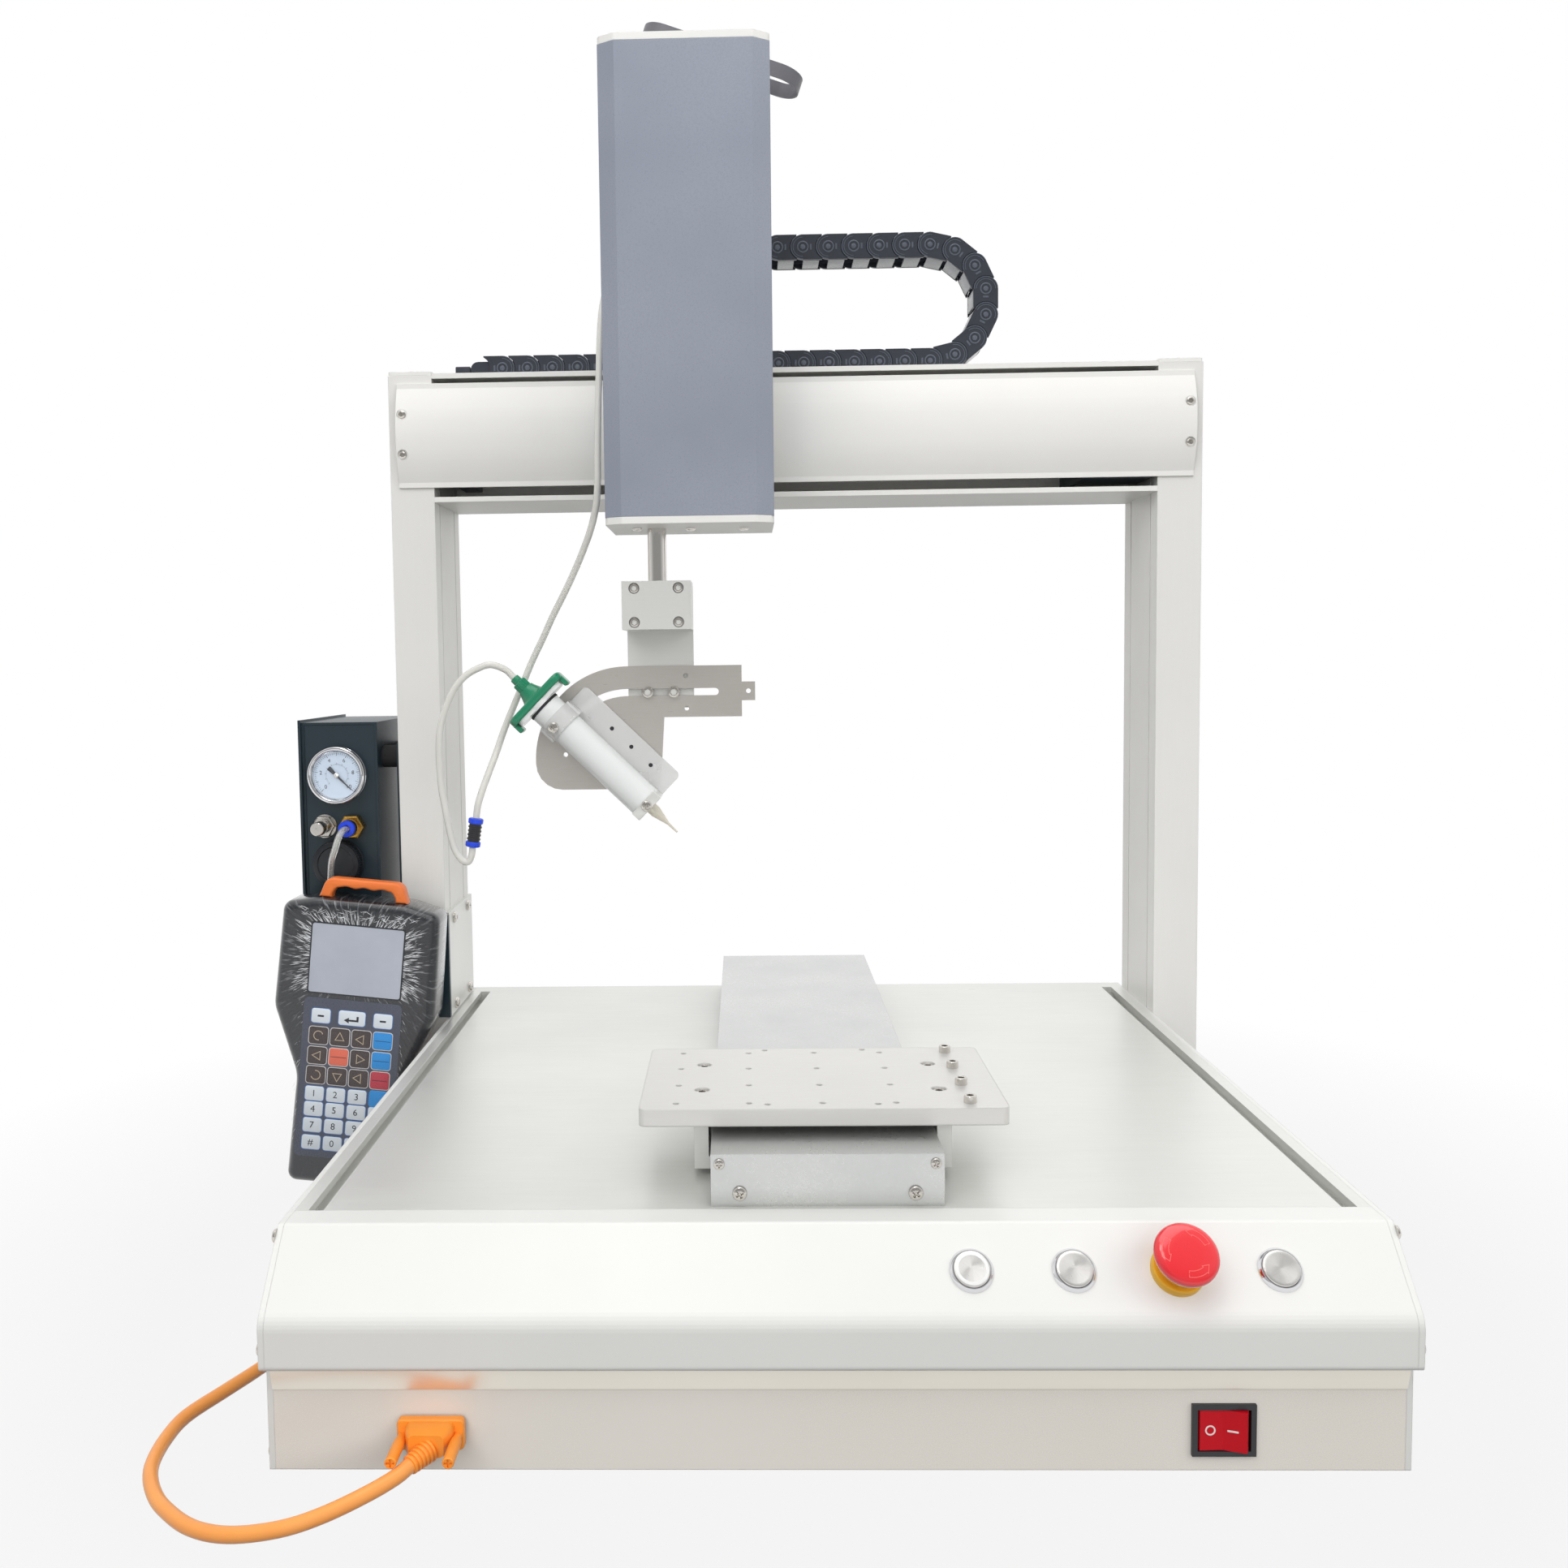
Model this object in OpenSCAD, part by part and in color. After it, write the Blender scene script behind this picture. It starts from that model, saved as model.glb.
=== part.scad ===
/* [Base] */
// Width of the base over its side panels
base_w = 560; // [520:5:620]
// Depth of the deck plate
deck_d = 490; // [470:5:540]
// Height of the base above its feet
base_h = 115; // [108:1:130]
// Height of the rubber feet
foot_h = 10; // [8:1:16]
// Radius of a rubber foot
foot_r = 15; // [10:1:20]
// Thickness of the deck plate
deck_t = 12; // [10:0.5:14]
// Thickness of a side panel
panel_t = 3; // [2:0.5:5]
// Thickness of the folded sheet of the pan
sheet_t = 2.5; // [1.5:0.5:4]
// Width of a T-slot in the deck
slot_w = 8; // [6:0.5:10]
// Distance from the base's side to the middle of a T-slot
slot_inset = 14; // [12:0.5:18]

/* [Console] */
// Depth of the flat strip in front of the deck
strip_d = 17; // [10:1:30]
// Run and rise of the slanted face
slope_run = 35; // [32:1:45]
// Height of the upright lip
lip_h = 25; // [18:1:32]
// Set-back of the front wall behind the lip
lip_step = 11; // [6:1:16]
// Rounding of the lip
lip_r = 12; // [6:1:16]
// Wall of the console profile
console_t = 3; // [2:0.5:4]
// Place of the first button
button_x = 68; // [40:1:90]
// Distance between neighbouring buttons
button_pitch = 50; // [44:1:54]
// Radius of a button's flange
flange_r = 11; // [9:0.5:13]
// Travel of a button
button_travel = 2; // [1:0.5:3]
// Radius of the emergency stop head
estop_r = 15.5; // [13:0.5:18]
// Travel of the emergency stop head
estop_travel = 4; // [3:0.5:5]
// Width of the rocker switch frame
rocker_w = 31; // [28:0.5:36]
// Height of the rocker switch frame
rocker_h = 26; // [22:0.5:30]
// Place of the rocker switch along the front
rocker_x = 189; // [120:1:220]
// Place of the pendant socket along the front
socket_x = -198; // [-230:1:-120]
// Height of switch and socket above the base's bottom
socket_rise = 21; // [19:0.5:26]

/* [Gantry] */
// Width of a column
column_w = 34; // [28:1:40]
// Depth of a column
column_d = 90; // [84:1:110]
// Distance from the deck's front edge to the columns
column_setback = 387; // [380:1:395]
// Height of the column's foot above the table
column_foot = 30; // [20:1:60]
// Wall of the column and beam profiles
profile_t = 4; // [3:0.5:6]
// Clear height under the beam, above the deck
beam_clear = 408.5; // [400:0.5:440]
// Height of the beam
beam_h = 99; // [96:0.5:110]
// Bulge of the beam cover
cover_bulge = 10; // [6:0.5:11]
// Thickness of the beam cover
cover_t = 2; // [1.5:0.5:3]
// Radius of the X screw
x_screw_r = 6; // [5:0.5:7]
// Pitch of the energy chain
link_pitch = 20; // [19:0.5:24]
// Height of a chain link
link_h = 19.5; // [16:0.5:22]
// Width of a chain link
link_w = 30; // [24:1:36]

/* [Work axis] */
// Width of the fixed cover
y_cover_w = 121; // [115:1:130]
// Height of the fixed cover
y_cover_h = 27.5; // [26:0.5:32]
// Width of the work plate
plate_w = 200; // [190:2:240]
// Depth of the work plate
plate_d = 116; // [110:1:140]
// Thickness of the work plate
plate_t = 9.5; // [8:0.5:12]
// Pitch of the threaded holes across the plate
hole_pitch_x = 40; // [36:1:44]
// Pitch of the threaded holes along the plate
hole_pitch_y = 32; // [28:1:34]
// Radius of a threaded hole
hole_r = 1.65; // [1.25:0.05:2.5]
// Distance from the deck's front edge to the plate at rest
plate_rest = 33; // [20:1:45]

/* [Head] */
// Place of the head's middle along the beam
head_x = -77.5; // [-90:0.5:-60]
// Width of the Z housing
housing_w = 120; // [116:1:130]
// Depth of the Z housing
housing_d = 84; // [80:1:90]
// Height of the Z housing
housing_h = 326; // [310:1:350]
// Wall of the Z housing
housing_t = 1.5; // [1:0.5:2.5]
// Radius of the turning shaft
shaft_r = 7; // [6:0.5:8]
// Length of shaft that shows below the housing
shaft_out = 39; // [30:1:45]
// Travel of the Z slide
z_travel = 100; // [80:5:105]
// Width of the clamp block
block_w = 50; // [46:1:56]
// Height of the clamp block
block_h = 35; // [30:1:40]
// Thickness of the arc bracket
bracket_t = 4; // [3:0.5:5]
// Radius of the syringe barrel
barrel_r = 12.5; // [11:0.5:13]
// Tilt of the syringe from the upright
syringe_tilt = 45.8; // [44:0.2:47]
// Diameter of the air tubes
tube_d = 5; // [4:0.5:6]

/* [Controller] */
// Width of the controller as it stands
controller_w = 60; // [56:1:66]
// Depth of the controller
controller_d = 123; // [110:1:140]
// Height of the controller as it stands
controller_h = 239.5; // [232:0.5:250]
// Radius of the pressure gauge's rim
gauge_r = 23; // [20:0.5:24]
// Radius of the regulator knob
knob_r = 19; // [15:0.5:20]

/* [Pendant] */
// Width of the pendant's head
pendant_w = 124; // [112:1:126]
// Height of the pendant
pendant_h = 222; // [218:1:226]
// Thickness of the pendant
pendant_t = 36; // [30:1:40]
// Width of the pendant's grip
grip_w = 82; // [76:1:84]
// Lean of the pendant to the side
pendant_roll = 5.9; // [3:0.1:7]
// Diameter of the pendant cable
cable_d = 7.5; // [6:0.5:8]

/* [Hidden] */
$fn = 48;

// Clearances: turning or sliding round fit, sliding flat fit, loose gap
run_gap = 0.06;
slide_gap = 0.3;
loose_gap = 1;
// Small overshoot that lets a cut pass right through a face
over = 1;

// Base
total_d = deck_d + strip_d + slope_run;
y_front = -total_d / 2;
y_back = total_d / 2;
deck_y = y_front + slope_run + strip_d;
wall_y = y_front + lip_step;
z_bottom = foot_h;
z_deck = foot_h + base_h;
z_under = z_deck - deck_t;
lip_z1 = z_deck - slope_run;
lip_z0 = lip_z1 - lip_h;
pan_x = base_w / 2 - panel_t;
socket_z = z_bottom + socket_rise;
foot_inset = 45;
foot_bolt_r = 3.2;

// Console: middle of the slanted face
slope_y = y_front + slope_run / 2;
slope_z = z_deck - slope_run / 2;
slope_tilt = 45;
flange_t = 2;
button_r = flange_r - 3;
barrel_wall_r = flange_r - 1.5;
button_depth = 18;
button_rise = 1.5;
collar_r = estop_r - 2.5;
collar_t = 5;
estop_barrel_r = 11;
estop_stem_r = 7;
estop_depth = 26;
estop_gap = estop_travel + 1;
estop_h = 13;

// Rocker switch
rocker_wall = 2.6;
rocker_body_d = 22;
rocker_r = rocker_w / 2 - rocker_wall - slide_gap;
rocker_pivot = 3;
rocker_tilt = 8;
frame_t = 2;

// Gantry
column_y = deck_y + column_setback;
column_y1 = column_y + column_d;
beam_z = z_deck + beam_clear;
beam_top = beam_z + beam_h;
cap_t = 3;
column_top = beam_top + 1.5;
groove_w = 2;
groove_inset = 18;
groove_deep = 1.5;
web_t = 5;
web_y = column_y1 - web_t;
flange_in0 = beam_z + profile_t;
flange_in1 = beam_top - profile_t;
slot_low = 7;
slot_high = 4;
cover_z0 = flange_in0 + slot_low;
cover_z1 = flange_in1 - slot_high;
cover_h = cover_z1 - cover_z0;
cover_x = base_w / 2 + column_w - 7;
cover_foot = 5;
cover_screw_z = 15.5;
cover_seat = column_y - cover_bulge + 2.3;
cover_arc_r = (cover_h * cover_h / 4 + cover_bulge * cover_bulge) / (2 * cover_bulge);

// X drive
motor_s = 42;
x_screw_y = column_y + motor_s / 2 + 1.5;
x_screw_z = flange_in0 + motor_s / 2 + 6.5;
motor_l = 48;
motor_plate = 4;
x_motor_x = base_w / 2 - 4 - motor_l;
x_rail_w = 15;
x_rail_h = 13;
x_rail_z = x_screw_z + motor_s / 2 + 6;
rail_end = 8;
bearing_l = 14;

// Y axis
y_cover_y0 = deck_y + 3;
y_cover_y1 = y_back - 7;
y_cover_t = 1.5;
y_cover_z = z_deck + y_cover_h;
skirt_z = z_deck + 14;
y_rail_x = 36;
y_rail_w = 12;
y_rail_h = 8;
wing_z0 = z_deck + 4;
wing_z1 = z_deck + 11;
leg_t = 8;
leg_x = y_cover_w / 2 + 2;
plate_gap = 4.5;
plate_z = y_cover_z + plate_gap;
plate_y = deck_y + plate_rest;
plate_mid = plate_y + plate_d / 2;
carriage_l = 90;
y_screw_r = 5;
y_screw_z = z_under - motor_s / 2 - 0.5;
nut_l = 30;
nut_w = 28;
neck_w = 18;
y_travel = 300;
y_motor_y = y_back - 9 - 46;
y_bearing_y = deck_y + 13;

// Head
housing_x0 = head_x - housing_w / 2;
housing_x1 = head_x + housing_w / 2;
back_t = 4;
housing_gap = 4;
back_y = column_y - cover_bulge - housing_gap - back_t;
housing_y = back_y - housing_d;
end_t = 5;
housing_z0 = beam_z - 24;
housing_z1 = housing_z0 + housing_h;
crease_w = 12;
crease_d = 7;
shaft_x = head_x - 25.5;
shaft_y = housing_y + 40;
screw_dx = housing_w / 2 - 27.5;
z_screw_x = head_x + screw_dx;
z_screw_r = 5;
slide_z0 = housing_z0 + z_travel + 30;
slide_h = 60;
z_rail_w = 12;
z_rail_h = 9;
z_motor_z = housing_z1 - 60;
loop_l = 127;
loop_d = 35;
loop_w = 10.7;
loop_t = 1.4;
loop_tilt = 19.3;
loop_rise = 28.5;
loop_tail = 40;
arm_x0 = head_x - 47;
arm_x1 = head_x + 47;
shoe_x0 = head_x - 37;
shoe_x1 = head_x + 37;
web_front = column_y + 4;

// Energy chain
chain_y = column_y + 47;
chain_gap = 0.05;
upper_links = 8;
bend_links = 7;
lower_links = 18;
link_count = upper_links + bend_links + lower_links;
chain_r = link_pitch / 2 / sin(90 / bend_links);
chain_low = beam_top + chain_gap + link_h / 2;
chain_high = chain_low + 2 * chain_r;
chain_start = head_x + 27.5;
chain_bend = chain_start + upper_links * link_pitch;
link_wall = 2.6;
link_gap = 0.3;
link_bar = 2;
link_pin = 2.6;
link_boss = 4.2;
tongue_r = link_h * 0.3;

// Tool
block_top = housing_z0 - end_t - shaft_out;
block_z = block_top - block_h;
block_d = 40;
bolt_edge = 5.2;
bolt_head_r = 3.4;
bolt_sink = 4;
block_y = shaft_y - block_d / 2;
drop_t = 5;
drop_y = shaft_y + block_d / 2;
drop_low = block_z - 58;
bracket_y = drop_y - bracket_t;
arc_x = shaft_x - 25;
arc_z = block_z - 96.5;
arc_r = 70;
arc_slot_r = 50.3;
arc_slot_w = 5.4;
arm_top = arc_z + arc_r;
arm_low = arm_top - 38.5;
arm_end = shaft_x + 61;
lobe_low = arc_z - 22.5;
lobe_end = shaft_x - 1;
tip_x = shaft_x + 12;
tip_y = drop_y - 23;
tip_z = block_z - 149.7;
holder_t = 3;
holder_y = bracket_y - tip_y - holder_t;

// Controller
bracket_sheet = 3;
side_foot_l = 14;
controller_x1 = -base_w / 2 - column_w - bracket_sheet - side_foot_l;
controller_x0 = controller_x1 - controller_w;
controller_y = column_y + 1;
controller_z = z_deck - 2;
case_t = 2;
front_t = 3;
front_y = controller_y + 0.5;
gauge_x = controller_x1 - 31;
gauge_z = controller_z + 198;
gauge_depth = 11;
dial_y = front_y - 6;
fitting_z = controller_z + 157;
valve_x = controller_x1 - 43.5;
outlet_x = controller_x1 - 20.5;
knob_x = controller_x1 - 32;
knob_z = controller_z + 128;
knob_h = 14;
knob_flute = 0.9;

// Pendant
pendant_back = column_y - 19;
pendant_front = pendant_back - pendant_t;
pendant_x = -base_w / 2 - 74.8;
pendant_z = 8;
key_pitch = 16.4;
key_w = 13.6;
key_h = 11;
key_rise = 0.8;
key_rows = [116.7, 101.2, 86, 71.5, 59.4, 46.8, 33.3];
wide_row = 132;
screen_w = 70;
screen_h = 53;
screen_low = 150;
shoulder_drop = 6;
pendant_edge = 5;
edge_scale = [1 - 2 * pendant_edge / pendant_w, 1 - 2 * pendant_edge / pendant_h];
waist_z = 84;
hip_z = 136;
handle_w = 68;
handle_h = 16.5;
handle_bar = 7.5;
handle_t = 12;
grip_wave = 1.6;
hook_z = z_deck + 35;
gland_z = 29;
gland_l = 14;
holder_top = z_deck + 83;

// Routes of the free lines, by hand
gland_end = [
    pendant_x + 2 * cos(pendant_roll) + gland_z * sin(pendant_roll),
    pendant_back + gland_l,
    pendant_z - 2 * sin(pendant_roll) + gland_z * cos(pendant_roll)
];
plug_end = [socket_x - 6, wall_y - 24, socket_z - 4.5];
cable_route = [
    gland_end, gland_end + [0, 11, 0], [-349, 188, 33], [-343, 203, 22], [-330, 214, 12],
    [-314, 212, 6], [-302, 200, 4], [-296, 184, 4], [-293, 165, 4], [-292, 145, 4],
    [-292, 120, 4], [-292, 95, 4], [-293, 70, 4], [-294, 45, 4], [-296, 20, 4],
    [-298, -5, 4], [-300, -30, 4], [-303, -55, 4], [-306, -80, 4], [-310, -105, 4],
    [-316, -130, 4], [-325, -154, 4], [-335, -176, 4], [-346, -201, 4], [-348, -222, 4],
    [-346, -243, 4], [-341, -258, 4], [-332, -273, 4], [-322, -284, 4], [-307, -297, 5],
    [-291, -306, 7], [-274, -311, 10], [-254, -312, 14], [-237, -308, 18], plug_end + [-16, -16, -4],
    plug_end + [-5, -7, -1.5], plug_end
];
joint_low = [-242.3, 95, 272];
joint_high = [-239, 95, 294];
joint_dir = (joint_high - joint_low) / norm(joint_high - joint_low);
supply_route = [
    [chain_start - 8, chain_y, chain_high], [-85, 213, 730], [-98, 207, 728], [-110, 199, 724],
    [-122, 189, 718], [-132, 178, 710], [-139, 167, 699], [-143, 156, 686], [-144.5, 146, 672],
    [-145, 137, 656], [-145, 129, 640], [-145, 122, 623], [-145, 115, 605], [-145, 109, 588],
    [-145, 104, 571], [-145, 100, 554], [-145, 97, 538], [-146.1, 96, 522.1], [-150.3, 98, 505.3],
    [-156.8, 102, 489.6], [-164.5, 107, 473.8], [-173.2, 112, 457.8], [-182.5, 117, 441.7],
    [-190.8, 121, 425.4], [-199.4, 123.5, 409], [-206.7, 124.5, 392.6], [-213.8, 124, 376.1],
    [-220.5, 119, 358.8], [-225.8, 112, 341.6], [-230.6, 104, 326.5], [-234.8, 98, 313.5],
    joint_high + 9 * joint_dir, joint_high
];
syringe_top = 166;
tube_gap = 0.4;
joint_h = 4;
joint_r = 5.5;
syringe_dir = [-sin(syringe_tilt), 0, cos(syringe_tilt)];
inlet_end = [tip_x, tip_y, tip_z] + syringe_top * syringe_dir;
syringe_route = [
    inlet_end, inlet_end + 9 * syringe_dir, [-227, 101, 406.5], [-237, 100, 403.5],
    [-246, 99, 398], [-253.5, 98, 389], [-259, 97, 378], [-263, 96, 366], [-265, 95, 353],
    [-265.5, 95, 340], [-265, 95, 327], [-264, 95, 314], [-262, 95, 302], [-260, 95, 290],
    [-257.8, 95, 279], [-255, 95, 269.5], [-250.3, 95, 262.5], [-245.8, 95, 261.2],
    joint_low - 6 * joint_dir, joint_low
];
outlet_end = [outlet_x, front_y - 22.5, fitting_z];
outlet_stop = [-base_w / 2 - column_w - 9, column_y + 35.5, 81.5];
outlet_route = [
    outlet_end, outlet_end + [0, -8, 0], outlet_end + [-1, -16, -4], outlet_end + [-3, -19, -12],
    outlet_end + [-6.5, -17, -21], outlet_end + [-10, -9, -29], outlet_end + [-13, -1, -37],
    outlet_end + [-15.5, 4.6, -47], outlet_end + [-17, 6.5, -58], outlet_end + [-17.5, 8, -69],
    outlet_end + [-17.5, 10, -84], outlet_end + [-17.5, 12, -98], outlet_end + [-17.5, 12, -112],
    outlet_end + [-17.5, 12, -126], outlet_end + [-17.5, 13, -140], outlet_end + [-17, 15, -154],
    outlet_end + [-15.5, 20, -167], outlet_end + [-10.5, 28, -178], outlet_end + [-2.5, 38, -186],
    outlet_end + [7.5, 50, -193], outlet_stop + [-9, 0, 0], outlet_stop
];

// Arc that rounds the corner q between its neighbours p and s
function unit(v) = v / norm(v);
function corner(p, q, s, r, n) =
    let (a = unit(p - q))
    let (b = unit(s - q))
    let (half = acos(a * b) / 2)
    let (c = q + unit(a + b) * r / sin(half))
    let (t0 = q + a * r / tan(half) - c)
    let (t1 = q + b * r / tan(half) - c)
    let (a0 = atan2(t0.y, t0.x))
    let (sweep = (atan2(t1.y, t1.x) - a0 + 540) % 360 - 180)
    [for (i = [0:n]) c + r * [cos(a0 + sweep * i / n), sin(a0 + sweep * i / n)]];

// Closed outline with each corner rounded by its own radius
function rounded(pts, radii, n = 5) =
    let (m = len(pts))
    [for (i = [0:m - 1]) each (radii[i] > 0
        ? corner(pts[(i + m - 1) % m], pts[i], pts[(i + 1) % m], radii[i], n)
        : [pts[i]])];

// Rectangle with rounded corners, given by two opposite corners
function round_rect(a, b, r, n = 5) =
    rounded([a, [b.x, a.y], b, [a.x, b.y]], [r, r, r, r], n);

// Direction of a route at its point i
function heading(p, i) =
    unit(p[min(i + 1, len(p) - 1)] - p[max(i - 1, 0)]);

// Side directions carried along a route without twist
function sides(p, i, prev) =
    let (t = heading(p, i))
    let (n = unit(prev - (prev * t) * t))
    i == len(p) - 1 ? [n] : concat([n], sides(p, i + 1, n));

// Box between two opposite corners
module slab(a, b) {
    translate(a) cube(b - a);
}

// Outline in the YZ plane, carried along X
module along_x(x0, x1) {
    translate([x0, 0, 0]) rotate([90, 0, 90]) linear_extrude(x1 - x0) children();
}

// Outline in the XZ plane, carried along Y
module along_y(y0, y1) {
    translate([0, y1, 0]) rotate([90, 0, 0]) linear_extrude(y1 - y0) children();
}

// Round bar along X, Y or Z
module bar_x(x0, x1, y, z, r) {
    translate([x0, y, z]) rotate([0, 90, 0]) cylinder(h = x1 - x0, r = r);
}

module bar_y(y0, y1, x, z, r) {
    translate([x, y1, z]) rotate([90, 0, 0]) cylinder(h = y1 - y0, r = r);
}

module bar_z(z0, z1, x, y, r) {
    translate([x, y, z0]) cylinder(h = z1 - z0, r = r);
}

// Round line of constant diameter through the points of a route
module tube(route, d, n, side) {
    across = sides(route, 0, side);
    rings = [for (i = [0:len(route) - 1])
        let (u = across[i])
        let (v = cross(heading(route, i), u))
        [for (k = [0:n - 1]) route[i] + d / 2 * (cos(360 * k / n) * u + sin(360 * k / n) * v)]];
    last = len(route) - 1;
    faces = concat(
        [[for (k = [0:n - 1]) k]],
        [for (i = [0:last - 1]) for (k = [0:n - 1])
            [i * n + k, (i + 1) * n + k, (i + 1) * n + (k + 1) % n, i * n + (k + 1) % n]],
        [[for (k = [n - 1:-1:0]) last * n + k]]
    );
    polyhedron([for (ring = rings) each ring], faces, convexity = 6);
}

// Place on the slanted console face, with +Z pointing out of it
module on_slope(x) {
    translate([x, slope_y, slope_z]) rotate([slope_tilt, 0, 0]) children();
}

// Base
module base_pan() {
    color("gainsboro") difference() {
        union() {
            slab([-pan_x, wall_y, z_bottom], [pan_x, y_back, z_bottom + sheet_t]);
            slab([-pan_x, wall_y, z_bottom], [pan_x, wall_y + sheet_t, lip_z0]);
            slab([-pan_x, y_back - sheet_t, z_bottom], [pan_x, y_back, z_under]);
        }
        foot_places() translate([0, 0, z_bottom - over]) cylinder(h = sheet_t + 2 * over, r = foot_bolt_r);
        switch_cut(rocker_x, rocker_w - 3, rocker_h - 3);
        switch_cut(socket_x, 22, 11);
        slab([inlet_x - inlet_w / 2, y_back - sheet_t - over, inlet_z - inlet_h / 2],
            [inlet_x + inlet_w / 2, y_back + over, inlet_z + inlet_h / 2]);
        for (i = [0:vent_count - 1])
            slab([vent_x + i * vent_pitch, y_back - sheet_t - over, z_bottom + 25],
                [vent_x + i * vent_pitch + 3, y_back + over, z_bottom + 60]);
    }
}

inlet_x = 190;
inlet_w = 28;
inlet_h = 21;
inlet_z = z_bottom + 35;
vent_count = 12;
vent_x = -170;
vent_pitch = 8;

module switch_cut(x, w, h) {
    slab([x - w / 2, wall_y - over, socket_z - h / 2],
        [x + w / 2, wall_y + sheet_t + over, socket_z + h / 2]);
}

module side_panels() {
    outline = rounded([[y_back, z_deck], [y_front + slope_run, z_deck], [y_front, lip_z1],
        [y_front, lip_z0], [wall_y, lip_z0], [wall_y, z_bottom], [y_back, z_bottom]],
        [0, 3, lip_r, 3, 0, 0, 0]);
    color("gainsboro") {
        along_x(-base_w / 2, -pan_x) polygon(outline);
        along_x(pan_x, base_w / 2) polygon(outline);
    }
}

module front_console() {
    t = console_t;
    shift = t * (sqrt(2) - 1);
    profile = rounded([[deck_y, z_deck], [y_front + slope_run, z_deck], [y_front, lip_z1],
        [y_front, lip_z0], [wall_y + sheet_t, lip_z0], [wall_y + sheet_t, lip_z0 + t],
        [y_front + t, lip_z0 + t], [y_front + t, lip_z1 - shift],
        [y_front + slope_run + shift, z_under], [deck_y, z_under]],
        [0, 3, lip_r, 3, 0, 0, 0, lip_r - t, 0, 0]);
    thin = [for (p = profile) p.y < z_under + 0.01 && p.x > y_front + slope_run
        ? [p.x, z_deck - t] : p];
    color("whitesmoke") difference() {
        along_x(-pan_x, pan_x) polygon(thin);
        for (i = [0, 1, 3])
            on_slope(button_x + i * button_pitch) translate([0, 0, -20])
                cylinder(h = 40, r = barrel_wall_r + slide_gap);
        on_slope(button_x + 2 * button_pitch) translate([0, 0, -20])
            cylinder(h = 40, r = estop_barrel_r + slide_gap);
    }
}

module deck_plate() {
    slot_end = y_back - 16;
    color("silver") difference() {
        slab([-pan_x, deck_y, z_under], [pan_x, y_back, z_deck]);
        for (s = [-1, 1]) {
            x = s * (base_w / 2 - slot_inset);
            slab([x - slot_w / 2, deck_y - over, z_deck - 5], [x + slot_w / 2, slot_end, z_deck + over]);
            slab([x - slot_w / 2 - 3, deck_y - over, z_deck - 8.5],
                [x + slot_w / 2 + 3, slot_end, z_deck - 4]);
        }
        slab([-neck_w / 2 - loose_gap, plate_mid - nut_l / 2 - 5, z_under - over],
            [neck_w / 2 + loose_gap, plate_mid + nut_l / 2 + y_travel + 5, z_deck + over]);
    }
}

module foot_places() {
    for (x = [-1, 1]) for (y = [-1, 1])
        translate([x * (base_w / 2 - foot_inset), y * (total_d / 2 - foot_inset), 0]) children();
}

module rubber_feet() {
    color("dimgray") difference() {
        foot_places() cylinder(h = foot_h, r = foot_r);
        foot_places() translate([0, 0, -over]) cylinder(h = foot_h + 2 * over, r = foot_bolt_r);
    }
    color("dimgray")
        for (y = [controller_y + 21, controller_y + 77]) for (z = [controller_z + 26, controller_z + 211])
            bar_x(controller_x1, controller_x1 + side_foot_l, y, z, 9);
}

// Gantry
module column_profile(x0) {
    difference() {
        translate([x0, column_y]) square([column_w, column_d]);
        translate([x0 + profile_t, column_y + profile_t])
            square([column_w - 2 * profile_t, column_d - 2 * profile_t]);
        for (y = [column_y + groove_inset, column_y1 - groove_inset]) for (e = [x0, x0 + column_w])
            translate([e - groove_deep, y - groove_w / 2]) square([2 * groove_deep, groove_w]);
    }
}

module columns() {
    color("lightgray")
        for (x = [-base_w / 2 - column_w, base_w / 2])
            translate([0, 0, column_foot]) linear_extrude(column_top - cap_t - column_foot) column_profile(x);
}

module column_caps() {
    color("white")
        for (x = [-base_w / 2 - column_w, base_w / 2])
            translate([0, 0, column_top - cap_t]) linear_extrude(cap_t)
                polygon(round_rect([x, column_y], [x + column_w, column_y1], 3));
}

module x_beam() {
    color("white") along_x(-base_w / 2, base_w / 2) difference() {
        translate([column_y, beam_z]) square([column_d, beam_h]);
        translate([column_y - over, flange_in0])
            square([column_d - web_t + over, flange_in1 - flange_in0]);
    }
}

module beam_cover() {
    cy = column_y - cover_bulge + cover_arc_r;
    cz = (cover_z0 + cover_z1) / 2;
    color("whitesmoke") difference() {
        along_x(-cover_x, cover_x) union() {
            difference() {
                translate([cy, cz]) circle(cover_arc_r);
                translate([cy, cz]) circle(cover_arc_r - cover_t);
                translate([column_y, cz - cover_arc_r - over])
                    square([2 * cover_arc_r + over, 2 * cover_arc_r + 2 * over]);
            }
            for (z = [cover_z0, cover_z1 - cover_foot])
                translate([column_y - cover_t, z]) square([cover_t, cover_foot]);
        }
        for (s = [-1, 1]) for (z = [cz - cover_screw_z, cz + cover_screw_z])
            bar_y(column_y - cover_bulge - 5, cover_seat, s * (cover_x - 5), z, 4);
    }
}

module guide_rails() {
    color("silver") {
        slab([-base_w / 2 + rail_end, web_y - x_rail_h, x_rail_z],
            [base_w / 2 - rail_end, web_y, x_rail_z + x_rail_w]);
        for (s = [-1, 1])
            slab([s * y_rail_x - y_rail_w / 2, y_cover_y0 + 6, z_deck],
                [s * y_rail_x + y_rail_w / 2, y_cover_y1 - 6, z_deck + y_rail_h]);
    }
}

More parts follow.
